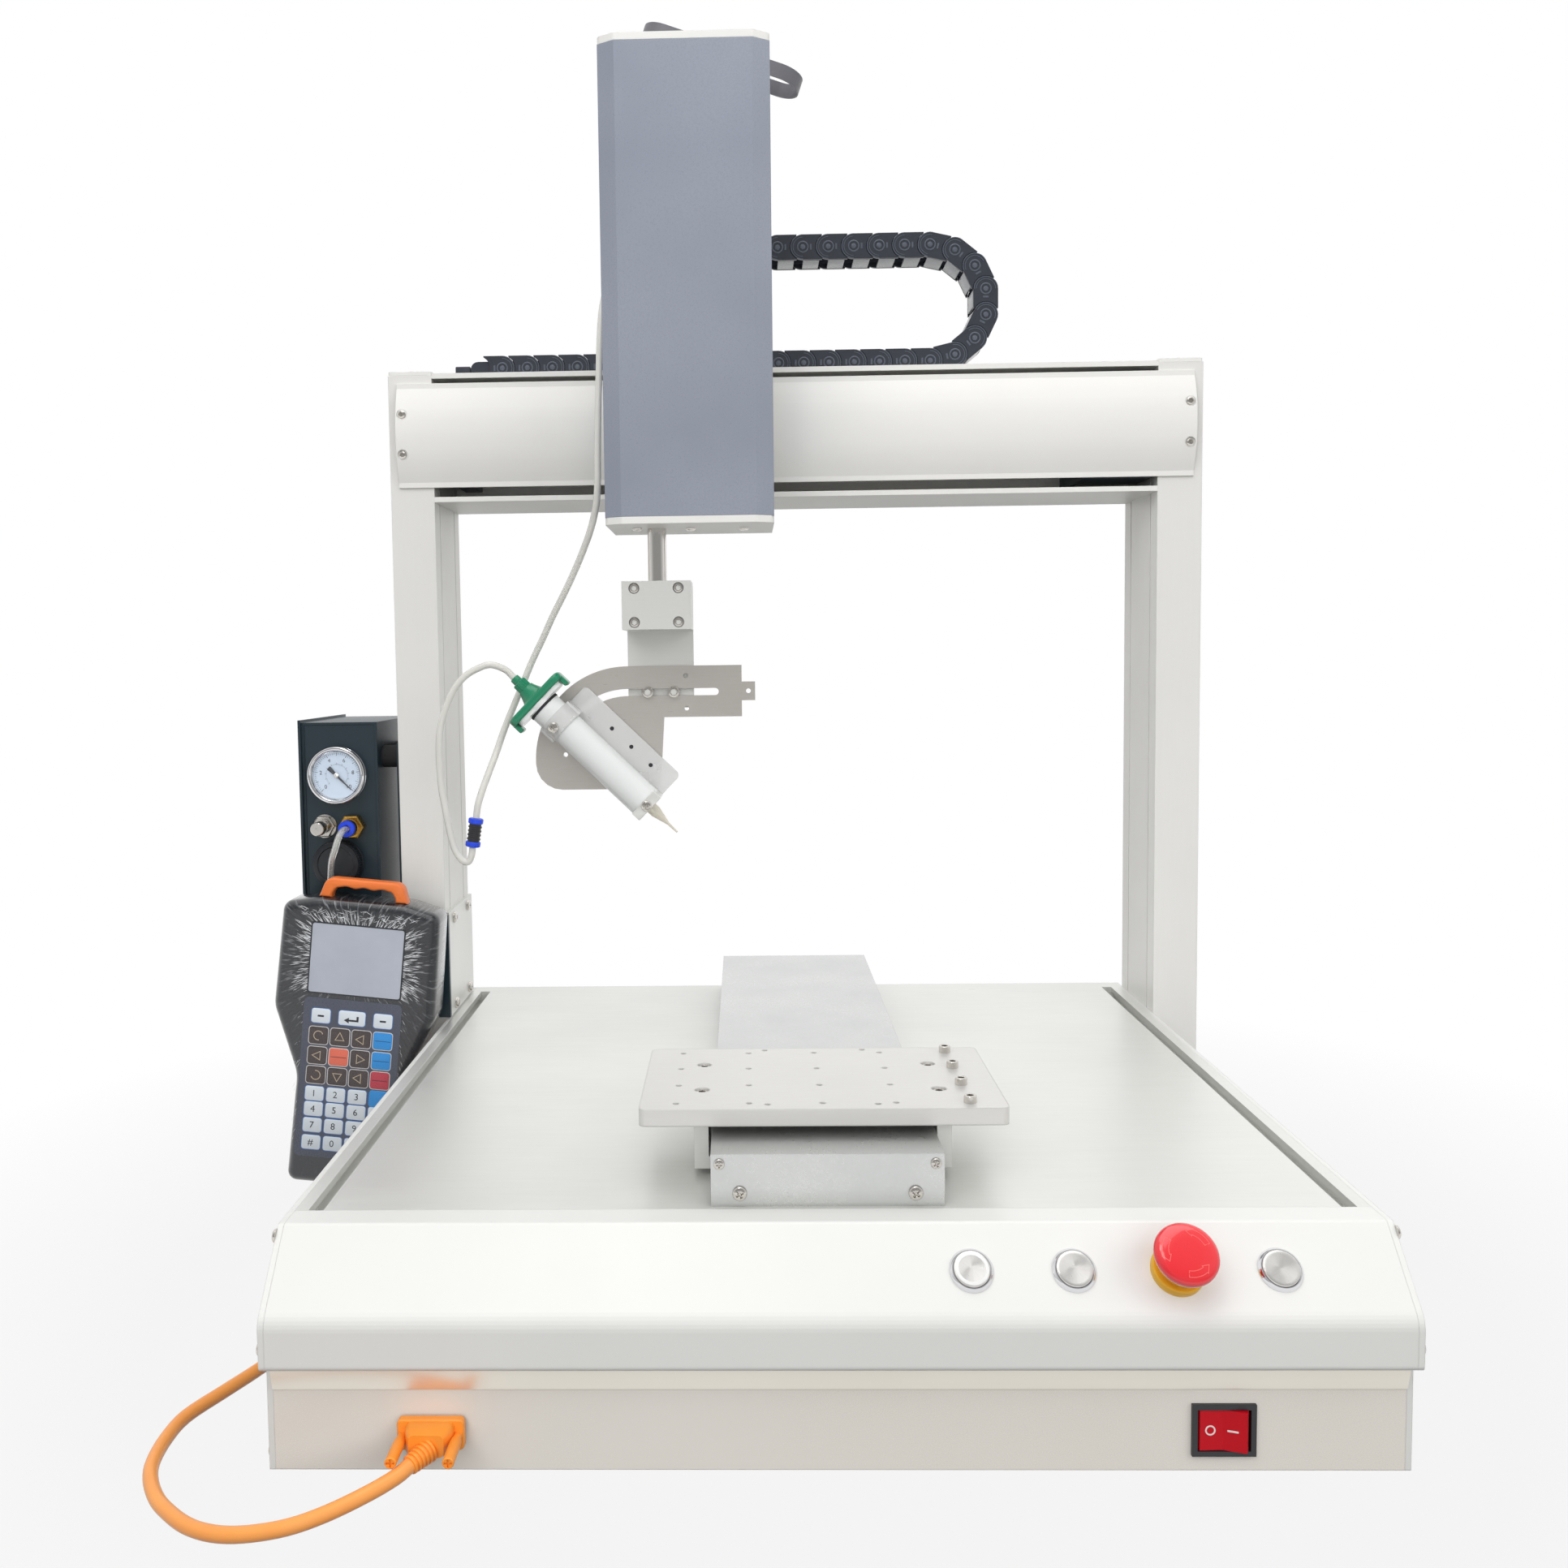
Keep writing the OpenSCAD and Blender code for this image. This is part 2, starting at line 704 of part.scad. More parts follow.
module axis_motors() {
    half = motor_s / 2;
    color("dimgray") difference() {
        union() {
            slab([x_motor_x, x_screw_y - half, x_screw_z - half],
                [x_motor_x + motor_l, x_screw_y + half, x_screw_z + half]);
            slab([x_motor_x - motor_plate, x_screw_y - half, x_screw_z - half],
                [x_motor_x, web_y, x_screw_z + half]);
            slab([-base_w / 2 + rail_end, x_screw_y - 14, x_screw_z - 14],
                [-base_w / 2 + rail_end + bearing_l, web_y, x_screw_z + 14]);
            slab([-half, y_motor_y, y_screw_z - half], [half, y_motor_y + 46, y_screw_z + half]);
            slab([-half - 3, y_motor_y - motor_plate, y_screw_z - half],
                [half + 3, y_motor_y, z_under]);
            slab([-14, y_bearing_y, y_screw_z - 13], [14, y_bearing_y + 12, z_under]);
        }
        bar_x(-base_w / 2 + rail_end + 2, x_motor_x, x_screw_y, x_screw_z, x_screw_r + run_gap);
        bar_y(y_bearing_y + 2, y_motor_y, 0, y_screw_z, y_screw_r + run_gap);
    }
}

module x_screw() {
    color("lightsteelblue")
        bar_x(-base_w / 2 + rail_end + 2.5, x_motor_x - 0.5, x_screw_y, x_screw_z, x_screw_r);
}

module y_screw() {
    color("lightsteelblue") bar_y(y_bearing_y + 2.5, y_motor_y - 0.5, 0, y_screw_z, y_screw_r);
}

module z_screw() {
    color("lightsteelblue")
        bar_z(housing_z0 + slide_gap, z_motor_z - 4 - slide_gap, z_screw_x, shaft_y, z_screw_r);
}

module y_cover() {
    x = y_cover_w / 2;
    color("lightsteelblue") {
        difference() {
            slab([-x, y_cover_y0, skirt_z], [x, y_cover_y1, y_cover_z]);
            slab([-x + y_cover_t, y_cover_y0 + y_cover_t, skirt_z - over],
                [x - y_cover_t, y_cover_y1 - y_cover_t, y_cover_z - y_cover_t]);
        }
        for (y = [y_cover_y0, y_cover_y1 - y_cover_t])
            slab([-x, y, z_deck], [x, y + y_cover_t, skirt_z]);
    }
}

module electronics() {
    supply = [[80, 40], [240, 200]];
    board = [[-240, -60], [-70, 180]];
    floor_z = z_bottom + sheet_t;
    color("darkseagreen") {
        slab([supply[0].x, supply[0].y, floor_z], [supply[1].x, supply[1].y, floor_z + 50]);
        slab([board[0].x, board[0].y, floor_z + 12], [board[1].x, board[1].y, floor_z + 14]);
        for (x = [board[0].x + 8, board[1].x - 8]) for (y = [board[0].y + 8, board[1].y - 8])
            bar_z(floor_z, floor_z + 12, x, y, 4);
        for (i = [0:3])
            slab([board[0].x + 20, board[0].y + 25 + i * 50, floor_z + 14],
                [board[0].x + 60, board[0].y + 60 + i * 50, floor_z + 38]);
    }
}

// Console controls
module button_bezel(x) {
    on_slope(x) difference() {
        union() {
            cylinder(h = flange_t, r = flange_r);
            translate([0, 0, -button_depth - 3]) cylinder(h = button_depth + 3, r = barrel_wall_r);
        }
        translate([0, 0, -button_depth]) cylinder(h = button_depth + flange_t + over, r = button_r + run_gap);
    }
}

module button_bezels() {
    color("silver") for (i = [0, 1, 3]) button_bezel(button_x + i * button_pitch);
}

module button_cap(x) {
    low = button_depth - button_travel - loose_gap;
    on_slope(x) translate([0, 0, -low]) cylinder(h = low + flange_t + button_rise, r = button_r);
}

module start_button() {
    color("silver") button_cap(button_x);
}

module pause_button() {
    color("silver") button_cap(button_x + button_pitch);
}

module reset_button() {
    color("silver") button_cap(button_x + 3 * button_pitch);
}

module estop_collar() {
    color("gold") on_slope(button_x + 2 * button_pitch) difference() {
        union() {
            cylinder(h = collar_t, r = collar_r);
            translate([0, 0, -estop_depth - 3]) cylinder(h = estop_depth + 3, r = estop_barrel_r);
        }
        translate([0, 0, -estop_depth]) cylinder(h = estop_depth + collar_t + over, r = estop_stem_r + run_gap);
    }
}

module estop_head() {
    low = collar_t + estop_gap;
    r = estop_r;
    dome = 4;
    color("red") on_slope(button_x + 2 * button_pitch) {
        translate([0, 0, estop_travel + loose_gap - estop_depth])
            cylinder(h = low + estop_depth - estop_travel - loose_gap, r = estop_stem_r);
        rotate_extrude() polygon(concat([[0, low], [r - 3.5, low], [r - 2.6, low + 1], [r, low + estop_h - dome]],
            [for (a = [15:15:90]) [r - dome + dome * cos(a), low + estop_h - dome + dome * sin(a)]],
            [[r / 2, low + estop_h + 0.5], [0, low + estop_h + 0.7]]));
    }
}

module panel_sockets() {
    w = rocker_w;
    h = rocker_h;
    color("dimgray") {
        difference() {
            union() {
                slab([rocker_x - w / 2, wall_y - frame_t, socket_z - h / 2],
                    [rocker_x + w / 2, wall_y, socket_z + h / 2]);
                slab([rocker_x - w / 2 + 1.8, wall_y, socket_z - h / 2 + 1.8],
                    [rocker_x + w / 2 - 1.8, wall_y + rocker_body_d, socket_z + h / 2 - 1.8]);
            }
            slab([rocker_x - w / 2 + rocker_wall, wall_y - frame_t - over, socket_z - h / 2 + rocker_wall],
                [rocker_x + w / 2 - rocker_wall, wall_y + rocker_body_d - 2, socket_z + h / 2 - rocker_wall]);
        }
        slab([socket_x - 15.4, wall_y - 2, socket_z - 6.2], [socket_x + 15.4, wall_y, socket_z + 6.2]);
        slab([socket_x - 10.5, wall_y, socket_z - 5], [socket_x + 10.5, wall_y + 10, socket_z + 5]);
        difference() {
            union() {
                slab([inlet_x - inlet_w / 2 - 11, y_back, inlet_z - inlet_h / 2 - 2],
                    [inlet_x + inlet_w / 2 + 11, y_back + 3, inlet_z + inlet_h / 2 + 2]);
                slab([inlet_x - inlet_w / 2 + slide_gap, y_back - 22, inlet_z - inlet_h / 2 + slide_gap],
                    [inlet_x + inlet_w / 2 - slide_gap, y_back, inlet_z + inlet_h / 2 - slide_gap]);
            }
            slab([inlet_x - 12, y_back - 14, inlet_z - 8.5], [inlet_x + 12, y_back + 3 + over, inlet_z + 8.5]);
        }
        for (x = [-7, 0, 7])
            slab([inlet_x + x - 1, y_back - 14, inlet_z - 3], [inlet_x + x + 1, y_back - 1, inlet_z + 3]);
    }
}

module rocker() {
    r = rocker_r;
    color("red") translate([rocker_x, wall_y + rocker_pivot, socket_z]) rotate([0, 0, -rocker_tilt])
        translate([0, 0, -rocker_h / 2 + rocker_wall + slide_gap])
            linear_extrude(rocker_h - 2 * rocker_wall - 2 * slide_gap) intersection() {
                circle(r);
                polygon([[-r - 1, 6], [r + 1, 6], [r + 1, -6.6], [0, -4.2], [-r - 1, -6.6]]);
            }
}

// Controller on the left column
module controller_case() {
    x0 = controller_x0;
    x1 = controller_x1;
    z1 = controller_z + controller_h;
    y1 = controller_y + controller_d;
    t = case_t;
    color("dimgray") difference() {
        union() {
            slab([x0, controller_y, controller_z], [x1, y1, z1]);
            slab([x0 - t, controller_y - 3, controller_z], [x0, y1, z1 + t]);
        }
        slab([x0 + t, controller_y - over, controller_z + t], [x1 - t, y1 - t, z1 - t]);
    }
}

module controller_panel() {
    t = case_t;
    color("black") difference() {
        slab([controller_x0 + t, front_y, controller_z + t],
            [controller_x1 - t, front_y + front_t, controller_z + controller_h - t]);
        bar_y(front_y - over, front_y + front_t + over, gauge_x, gauge_z, gauge_r - 3 + slide_gap);
        bar_y(front_y - over, front_y + front_t + over, valve_x, fitting_z, 5 + slide_gap);
        bar_y(front_y - over, front_y + front_t + over, outlet_x, fitting_z, 5 + slide_gap);
        bar_y(front_y - over, front_y + front_t + over, knob_x, knob_z, 4 + run_gap);
    }
}

module pressure_gauge() {
    color("silver") {
        difference() {
            union() {
                bar_y(front_y - gauge_depth, front_y, gauge_x, gauge_z, gauge_r);
                bar_y(front_y, front_y + 22, gauge_x, gauge_z, gauge_r - 3);
            }
            bar_y(front_y - gauge_depth - over, dial_y, gauge_x, gauge_z, gauge_r - 2.5);
        }
        bar_y(dial_y - 4, dial_y, gauge_x, gauge_z, 0.9);
    }
}

module gauge_pointer() {
    color("black") translate([gauge_x, dial_y - 1.6, gauge_z]) rotate([90, 0, 0]) difference() {
        union() {
            cylinder(h = 0.8, r = 2.4);
            rotate([0, 0, -45]) linear_extrude(0.8)
                polygon([[-7, -1.1], [-7, 1.1], [gauge_r - 7, 0.3], [gauge_r - 7, -0.3]]);
        }
        translate([0, 0, -over]) cylinder(h = 3, r = 0.9 + run_gap);
    }
}

module panel_fittings() {
    color("goldenrod") {
        difference() {
            union() {
                translate([valve_x, front_y, fitting_z]) rotate([90, 0, 0]) cylinder(h = 6, r = 9, $fn = 6);
                bar_y(front_y - 11, front_y + 12, valve_x, fitting_z, 5);
            }
            bar_y(front_y - 11 - over, front_y - 2, valve_x, fitting_z, 2 + run_gap);
        }
        translate([outlet_x, front_y, fitting_z]) rotate([90, 0, 0]) cylinder(h = 10, r = 10, $fn = 6);
        bar_y(front_y - 22.5, front_y - 10, outlet_x, fitting_z, 6.5);
        bar_y(front_y, front_y + 12, outlet_x, fitting_z, 5);
        bar_x(outlet_stop.x, outlet_stop.x + 9, outlet_stop.y, outlet_stop.z, 6);
    }
}

module vacuum_knob() {
    color("silver") {
        bar_y(front_y - 22, front_y - 11 - slide_gap, valve_x, fitting_z, 5.5);
        bar_y(front_y - 11 - slide_gap, front_y - 3, valve_x, fitting_z, 2);
    }
}

module regulator_knob() {
    color("black") union() {
        translate([knob_x, front_y - 0.5, knob_z]) rotate([90, 0, 0]) linear_extrude(knob_h)
            polygon([for (i = [0:95]) (knob_r - (i % 4 < 2 ? 0 : knob_flute)) * [cos(i * 3.75), sin(i * 3.75)]]);
        bar_y(front_y - 0.5, front_y + front_t + 6, knob_x, knob_z, 4);
    }
}

module column_bracket() {
    out_x = -base_w / 2 - column_w;
    shelf_z = controller_z - bracket_sheet;
    hook_x = [out_x + 4, out_x - 36];
    color("black") {
        slab([out_x - bracket_sheet, column_y + 6, shelf_z],
            [out_x, column_y1 - 4, controller_z + 222]);
        slab([controller_x0, column_y + 6, shelf_z], [out_x - bracket_sheet, column_y1 - 4, controller_z]);
        slab([out_x - 34, column_y - 4, z_deck + 1.4], [-base_w / 2 + bracket_sheet, column_y, holder_top]);
        for (x = [out_x + 6, out_x - 26])
            slab([x - 5, pendant_back, hook_z], [x + 5, column_y - 4, hook_z + 30]);
    }
}

module clamp_plate() {
    x = -base_w / 2;
    color("silver")
        slab([x, column_y, z_deck + 1.4], [x + bracket_sheet, column_y1, holder_top + 2]);
}

// Pendant, drawn upright with its grip's middle at the origin and then leant
module pendant_place() {
    translate([pendant_x, pendant_front, pendant_z]) rotate([0, pendant_roll, 0]) children();
}

module pendant_outline() {
    g = grip_w / 2;
    w = pendant_w / 2;
    top = pendant_h;
    polygon(rounded([[-g - 2, 0], [g + 2, 0], [g, waist_z], [w, hip_z], [w - 2, top - shoulder_drop],
        [handle_w / 2, top], [-handle_w / 2, top], [-w + 2, top - shoulder_drop], [-w, hip_z], [-g, waist_z]],
        [8, 8, 30, 24, 8, 0, 0, 8, 24, 30]));
}

module pendant_body() {
    color("dimgray") pendant_place() {
        difference() {
            union() {
                along_y(pendant_edge, pendant_t) pendant_outline();
                translate([0, pendant_edge, pendant_h / 2]) rotate([90, 0, 0])
                    linear_extrude(pendant_edge, scale = edge_scale, slices = 1)
                        translate([0, -pendant_h / 2]) pendant_outline();
            }
            along_y(-over, 1.2)
                translate([-screen_w / 2, screen_low]) square([screen_w, screen_h]);
        }
        bar_y(pendant_t, pendant_t + gland_l, 2, gland_z, 6.5);
    }
}

module pendant_handle() {
    w = handle_w / 2;
    b = handle_bar;
    half = w - b - 3;
    color("darkorange") pendant_place() along_y(6, 6 + handle_t) translate([0, pendant_h])
        polygon(concat(rounded([[-w, 0], [-w + 5, handle_h], [w - 5, handle_h], [w, 0]], [0, 7, 7, 0]),
            [[w - b, 0]],
            [for (i = [0:24]) [half - 2 * half * i / 24,
                handle_h - b + grip_wave * (0.5 - 0.5 * cos(60 * i))]],
            [[-w + b, 0]]));
}

module pendant_keypad() {
    color("whitesmoke") pendant_place() {
        along_y(0.2, 1.2) translate([-screen_w / 2 + 0.2, screen_low + 0.2])
            square([screen_w - 0.4, screen_h - 0.4]);
        for (z = key_rows) for (i = [-1.5:1.5])
            along_y(-key_rise, 0) translate([i * key_pitch, z])
                polygon(round_rect([-key_w / 2, -key_h / 2], [key_w / 2, key_h / 2], 2, 3));
        for (i = [-1:1])
            along_y(-key_rise, 0) translate([i * key_pitch * 1.45, wide_row])
                polygon(round_rect([-key_w / 2 - (1 - abs(i)) * 3, -key_h / 2],
                    [key_w / 2 + (1 - abs(i)) * 3, key_h / 2], 2, 3));
    }
}

module pendant_cable() {
    color("darkorange") tube(cable_route, cable_d, 10, [0, 0, 1]);
}

// Plug of the pendant cable, straight out of the front wall
module cable_plug() {
    y = wall_y - 2;
    color("darkorange") {
        slab([socket_x - 16.5, y - 4, socket_z - 7.8], [socket_x + 16.5, y, socket_z + 7.8]);
        translate([0, y - 4, 0]) rotate([90, 0, 0]) linear_extrude(10)
            polygon(round_rect([socket_x - 10.5, socket_z - 6], [socket_x + 10.5, socket_z + 6], 3));
        for (s = [-1, 1])
            bar_y(y - 28, y - 4, socket_x + s * 13.7, socket_z, 2.8);
        aim = plug_end - (plug_end + [-5, -7, -1.5]);
        translate(plug_end) rotate([0, acos(aim.z / norm(aim)), atan2(aim.y, aim.x)])
            cylinder(h = 13, r1 = 4.6, r2 = 6);
    }
}

module outlet_tube() {
    color("azure") tube(outlet_route, tube_d, 8, [1, 0, 0]);
}

module case_screws() {
    r = 3.5;
    h = 2;
    plate_y0 = y_cover_y0;
    color("silver") {
        for (s = [-1, 1]) {
            x = s * base_w / 2;
            for (p = [[y_front + slope_run - 3, z_deck - 5], [y_front + 5, lip_z0 + 10],
                [wall_y + 6, z_bottom + 7], [y_back - 6, z_bottom + 7], [y_back - 6, z_deck - 6]])
                bar_x(min(x, x + s * h), max(x, x + s * h), p.x, p.y, r);
            for (z = [-cover_screw_z, cover_screw_z])
                bar_y(cover_seat - 2.6, cover_seat, s * (cover_x - 5), (cover_z0 + cover_z1) / 2 + z, r);
            bar_z(column_top, column_top + h, s * (base_w / 2 + column_w / 2), column_y + 8, r - 0.5);
            bar_y(plate_y0 - h, plate_y0, s * (y_cover_w / 2 - 4), y_cover_z - 4, 2);
            bar_y(plate_y0 - h, plate_y0, s * (y_cover_w / 2 - 15), z_deck + 7, 3);
        }
        for (y = [column_y + 18, column_y1 - 18]) for (z = [z_deck + 8, holder_top - 5])
            bar_x(-base_w / 2 + bracket_sheet, -base_w / 2 + bracket_sheet + h, y, z, r);
    }
}

// Energy chain: each link has two outer plates, round about its pin, and two tongues set inside the next link
module link_plate(y) {
    r = link_h / 2;
    difference() {
        union() {
            bar_y(y, y + link_wall, 0, 0, r);
            slab([0, y, -r], [link_pitch - r / 2, y + link_wall, r]);
        }
        bar_y(y - over, y + link_wall + over, link_pitch, 0, r + link_gap);
    }
}

module link_tongue(y) {
    joggle = tongue_r + 2 * link_gap;
    bar_y(y, y + link_wall, link_pitch, 0, tongue_r);
    slab([joggle, y, -tongue_r], [link_pitch, y + link_wall, tongue_r]);
}

module chain_link() {
    w = link_w / 2;
    r = link_h / 2;
    joggle = tongue_r + 2 * link_gap;
    inside = w - 2 * link_wall - link_gap;
    difference() {
        union() {
            link_plate(-w);
            link_plate(w - link_wall);
            link_tongue(-inside - link_wall);
            link_tongue(inside);
            for (s = [-1, 1]) {
                bar_y(min(s * w, s * (w + 0.4)), max(s * w, s * (w + 0.4)), 0, 0, link_boss);
                bar_y(min(s * inside, s * (w + 0.2)), max(s * inside, s * (w + 0.2)), link_pitch, 0, link_pin);
                slab([joggle, min(s * inside, s * w), -tongue_r],
                    [link_pitch - r - link_gap, max(s * inside, s * w), tongue_r]);
                slab([0, -w + link_wall / 2, s > 0 ? r - link_bar : -r],
                    [link_pitch - r / 2 - 2, w - link_wall / 2, s > 0 ? r : -r + link_bar]);
            }
        }
        for (s = [-1, 1])
            bar_y(s > 0 ? w - link_wall - over : -w - 1, s > 0 ? w + 1 : -w + link_wall + over,
                0, 0, link_pin + link_gap);
    }
}

function chain_pin(k) =
    let (a = (k - upper_links) * 180 / bend_links)
    k <= upper_links ? [chain_start + k * link_pitch, chain_high]
    : k <= upper_links + bend_links
        ? [chain_bend + chain_r * sin(a), chain_low + chain_r * (1 + cos(a))]
        : [chain_bend - (k - upper_links - bend_links) * link_pitch, chain_low];

module energy_chain() {
    end_x = chain_pin(link_count).x - tongue_r - link_gap;
    color("dimgray") {
        for (k = [0:link_count - 1]) {
            p = chain_pin(k);
            d = chain_pin(k + 1) - p;
            translate([p.x, chain_y, p.y]) rotate([0, atan2(-d.y, d.x), 0]) chain_link();
        }
        slab([end_x - 12, chain_y - link_w / 2 + 2, beam_top],
            [end_x, chain_y + link_w / 2 - 2, beam_top + 12]);
    }
}

// Head
function housing_outline(t) =
    let (w = housing_w / 2 - t)
    let (c = w - crease_w + t * 0.6)
    [[-w, housing_d], [-w, crease_d + t * 0.6], [-c, t], [c, t], [w, crease_d + t * 0.6], [w, housing_d]];

module x_carriage() {
    arm_low0 = flange_in0 + loose_gap;
    arm_low1 = cover_z0 - loose_gap;
    arm_up0 = cover_z1 + loose_gap;
    arm_up1 = flange_in1 - loose_gap;
    block_y1 = web_y - 3;
    color("silver") {
        difference() {
            union() {
                slab([housing_x0, back_y, housing_z0 - end_t],
                    [housing_x1, back_y + back_t, housing_z1 + end_t]);
                slab([arm_x0, back_y + back_t, arm_low0], [arm_x1, web_front + 8, arm_low1]);
                slab([arm_x0, back_y + back_t, arm_up0], [arm_x1, web_front + 8, arm_up1]);
                slab([shoe_x0, web_front, arm_low0], [shoe_x1, web_front + 8, arm_up1]);
                slab([shoe_x0, web_front + 8, flange_in0 + 12], [shoe_x1, block_y1, flange_in1 - 14]);
                slab([chain_start - 12, back_y + back_t, chain_high - link_h / 2 - 4],
                    [chain_start + 12, chain_y + link_w / 2, chain_high - link_h / 2]);
            }
            slab([shoe_x0 - over, web_y - x_rail_h - slide_gap, x_rail_z - slide_gap],
                [shoe_x1 + over, block_y1 + over, x_rail_z + x_rail_w + slide_gap]);
            bar_x(shoe_x0 - over, shoe_x1 + over, x_screw_y, x_screw_z, x_screw_r + run_gap);
        }
        slab([shaft_x - z_rail_w / 2, back_y - z_rail_h, housing_z0 + 20],
            [shaft_x + z_rail_w / 2, back_y, z_motor_z - 10]);
    }
}

module z_housing() {
    color("slategray") translate([head_x, housing_y, housing_z0]) linear_extrude(housing_h) difference() {
        polygon(housing_outline(0));
        translate([0, 0.01]) polygon([for (p = housing_outline(housing_t))
            p.y == housing_d ? [p.x, housing_d + over] : p]);
    }
}

module z_end_plates() {
    color("white") difference() {
        for (z = [housing_z0 - end_t, housing_z1])
            translate([head_x, housing_y, z]) linear_extrude(end_t)
                polygon(rounded(housing_outline(0), [0, 5, 5, 5, 5, 0]));
        bar_z(housing_z0 - end_t - over, housing_z0 + over, shaft_x, shaft_y, shaft_r + run_gap);
    }
}

module z_motor() {
    half = motor_s / 2;
    color("dimgray") {
        slab([z_screw_x - half, shaft_y - half, z_motor_z], [z_screw_x + half, shaft_y + half, z_motor_z + 42]);
        slab([z_screw_x - half, shaft_y - half, z_motor_z - 4], [z_screw_x + half, back_y, z_motor_z]);
        flat_cable();
    }
}

module flat_cable() {
    y0 = back_y + back_t + slide_gap;
    mid = [head_x + 25.5, y0 + loop_d / 2, housing_z1 + loop_rise];
    l = loop_l / 2;
    d = loop_d / 2;
    union() {
        translate(mid) rotate([0, loop_tilt, 0]) linear_extrude(loop_w, center = true) difference() {
            polygon(round_rect([-l, -d], [l, d], d - 0.5, 10));
            polygon(round_rect([-l + loop_t, -d + loop_t], [l - loop_t, d - loop_t], d - loop_t - 0.5, 10));
        }
        slab([mid.x - loop_w / 2, y0 + 0.2, housing_z1 - loop_tail],
            [mid.x + loop_w / 2, y0 + loop_t - 0.2, mid.z]);
    }
}

module z_slide() {
    half = motor_s / 2;
    z1 = slide_z0 + slide_h;
    rail_y = back_y - z_rail_h;
    color("silver") difference() {
        union() {
            slab([shaft_x - 25, shaft_y - 22, slide_z0], [shaft_x + 25, shaft_y + 22, z1]);
            slab([shaft_x - half, shaft_y - half, z1], [shaft_x + half, shaft_y + half, z1 + motor_s]);
            slab([shaft_x + 25, shaft_y - 14, slide_z0], [z_screw_x + 14, shaft_y + 14, slide_z0 + 25]);
            slab([shaft_x - 15, shaft_y + 22, slide_z0], [shaft_x + 15, back_y - 3, z1]);
        }
        slab([shaft_x - z_rail_w / 2 - slide_gap, rail_y - slide_gap, slide_z0 - over],
            [shaft_x + z_rail_w / 2 + slide_gap, back_y, z1 + over]);
        bar_z(slide_z0 - over, z1 - 10, shaft_x, shaft_y, shaft_r + run_gap);
        bar_z(slide_z0 - over, slide_z0 + 25 + over, z_screw_x, shaft_y, z_screw_r + run_gap);
    }
}

module supply_tube() {
    color("azure") tube(supply_route, tube_d, 8, [0, 0, 1]);
}

module syringe_tube() {
    color("azure") tube(syringe_route, tube_d, 8, [0, 1, 0]);
}

// Inline connector between the supply tube's end and the syringe tube's end
module tube_connector() {
    a = supply_route[len(supply_route) - 1];
    b = syringe_route[len(syringe_route) - 1];
    lean = atan2(a.x - b.x, a.z - b.z);
    l = norm(a - b) - 2 * tube_gap;
    color("royalblue") translate(b) rotate([0, lean, 0]) translate([0, 0, tube_gap]) union() {
        cylinder(h = l, r = 4.4);
        for (z = [0, l - joint_h])
            translate([0, 0, z]) cylinder(h = joint_h, r = joint_r);
        for (z = [joint_h + 1.6:3:l - joint_h - 2])
            translate([0, 0, z]) cylinder(h = 1.6, r = joint_r - 0.5);
    }
}

// Tool on the turning shaft
module r_shaft() {
    color("silver") bar_z(block_z, slide_z0 + slide_h - 10 - slide_gap, shaft_x, shaft_y, shaft_r);
}

module clamp_bolts() {
    for (x = [-1, 1]) for (z = [bolt_edge, block_h - bolt_edge])
        translate([shaft_x + x * (block_w / 2 - 9), 0, block_z + z]) children();
}

module clamp_block() {
    x0 = shaft_x - block_w / 2;
    color("lightgray") union() {
        difference() {
            slab([x0, block_y, block_z], [x0 + block_w, drop_y, block_top]);
            bar_z(block_z - over, block_top + over, shaft_x, shaft_y, shaft_r + run_gap);
            slab([shaft_x, shaft_y - 0.75, block_z - over], [x0 + block_w + over, shaft_y + 0.75, block_top + over]);
            clamp_bolts() bar_y(block_y - over, block_y + bolt_sink, 0, 0, bolt_head_r + 0.5);
        }
        clamp_bolts() bar_y(block_y + 0.8, block_y + bolt_sink + over, 0, 0, bolt_head_r);
    }
}

module drop_plate() {
    slot_z = arc_z + arc_slot_r;
    color("gainsboro") {
        slab([shaft_x - 24.5, drop_y, drop_low], [shaft_x + 25, drop_y + drop_t, block_top - 2]);
        for (x = [shaft_x - 9.5, shaft_x + 10]) {
            bar_y(bracket_y, drop_y, x, slot_z, arc_slot_w / 2 - slide_gap);
            bar_y(bracket_y - 3.2, bracket_y, x, slot_z, 4.2);
        }
    }
}

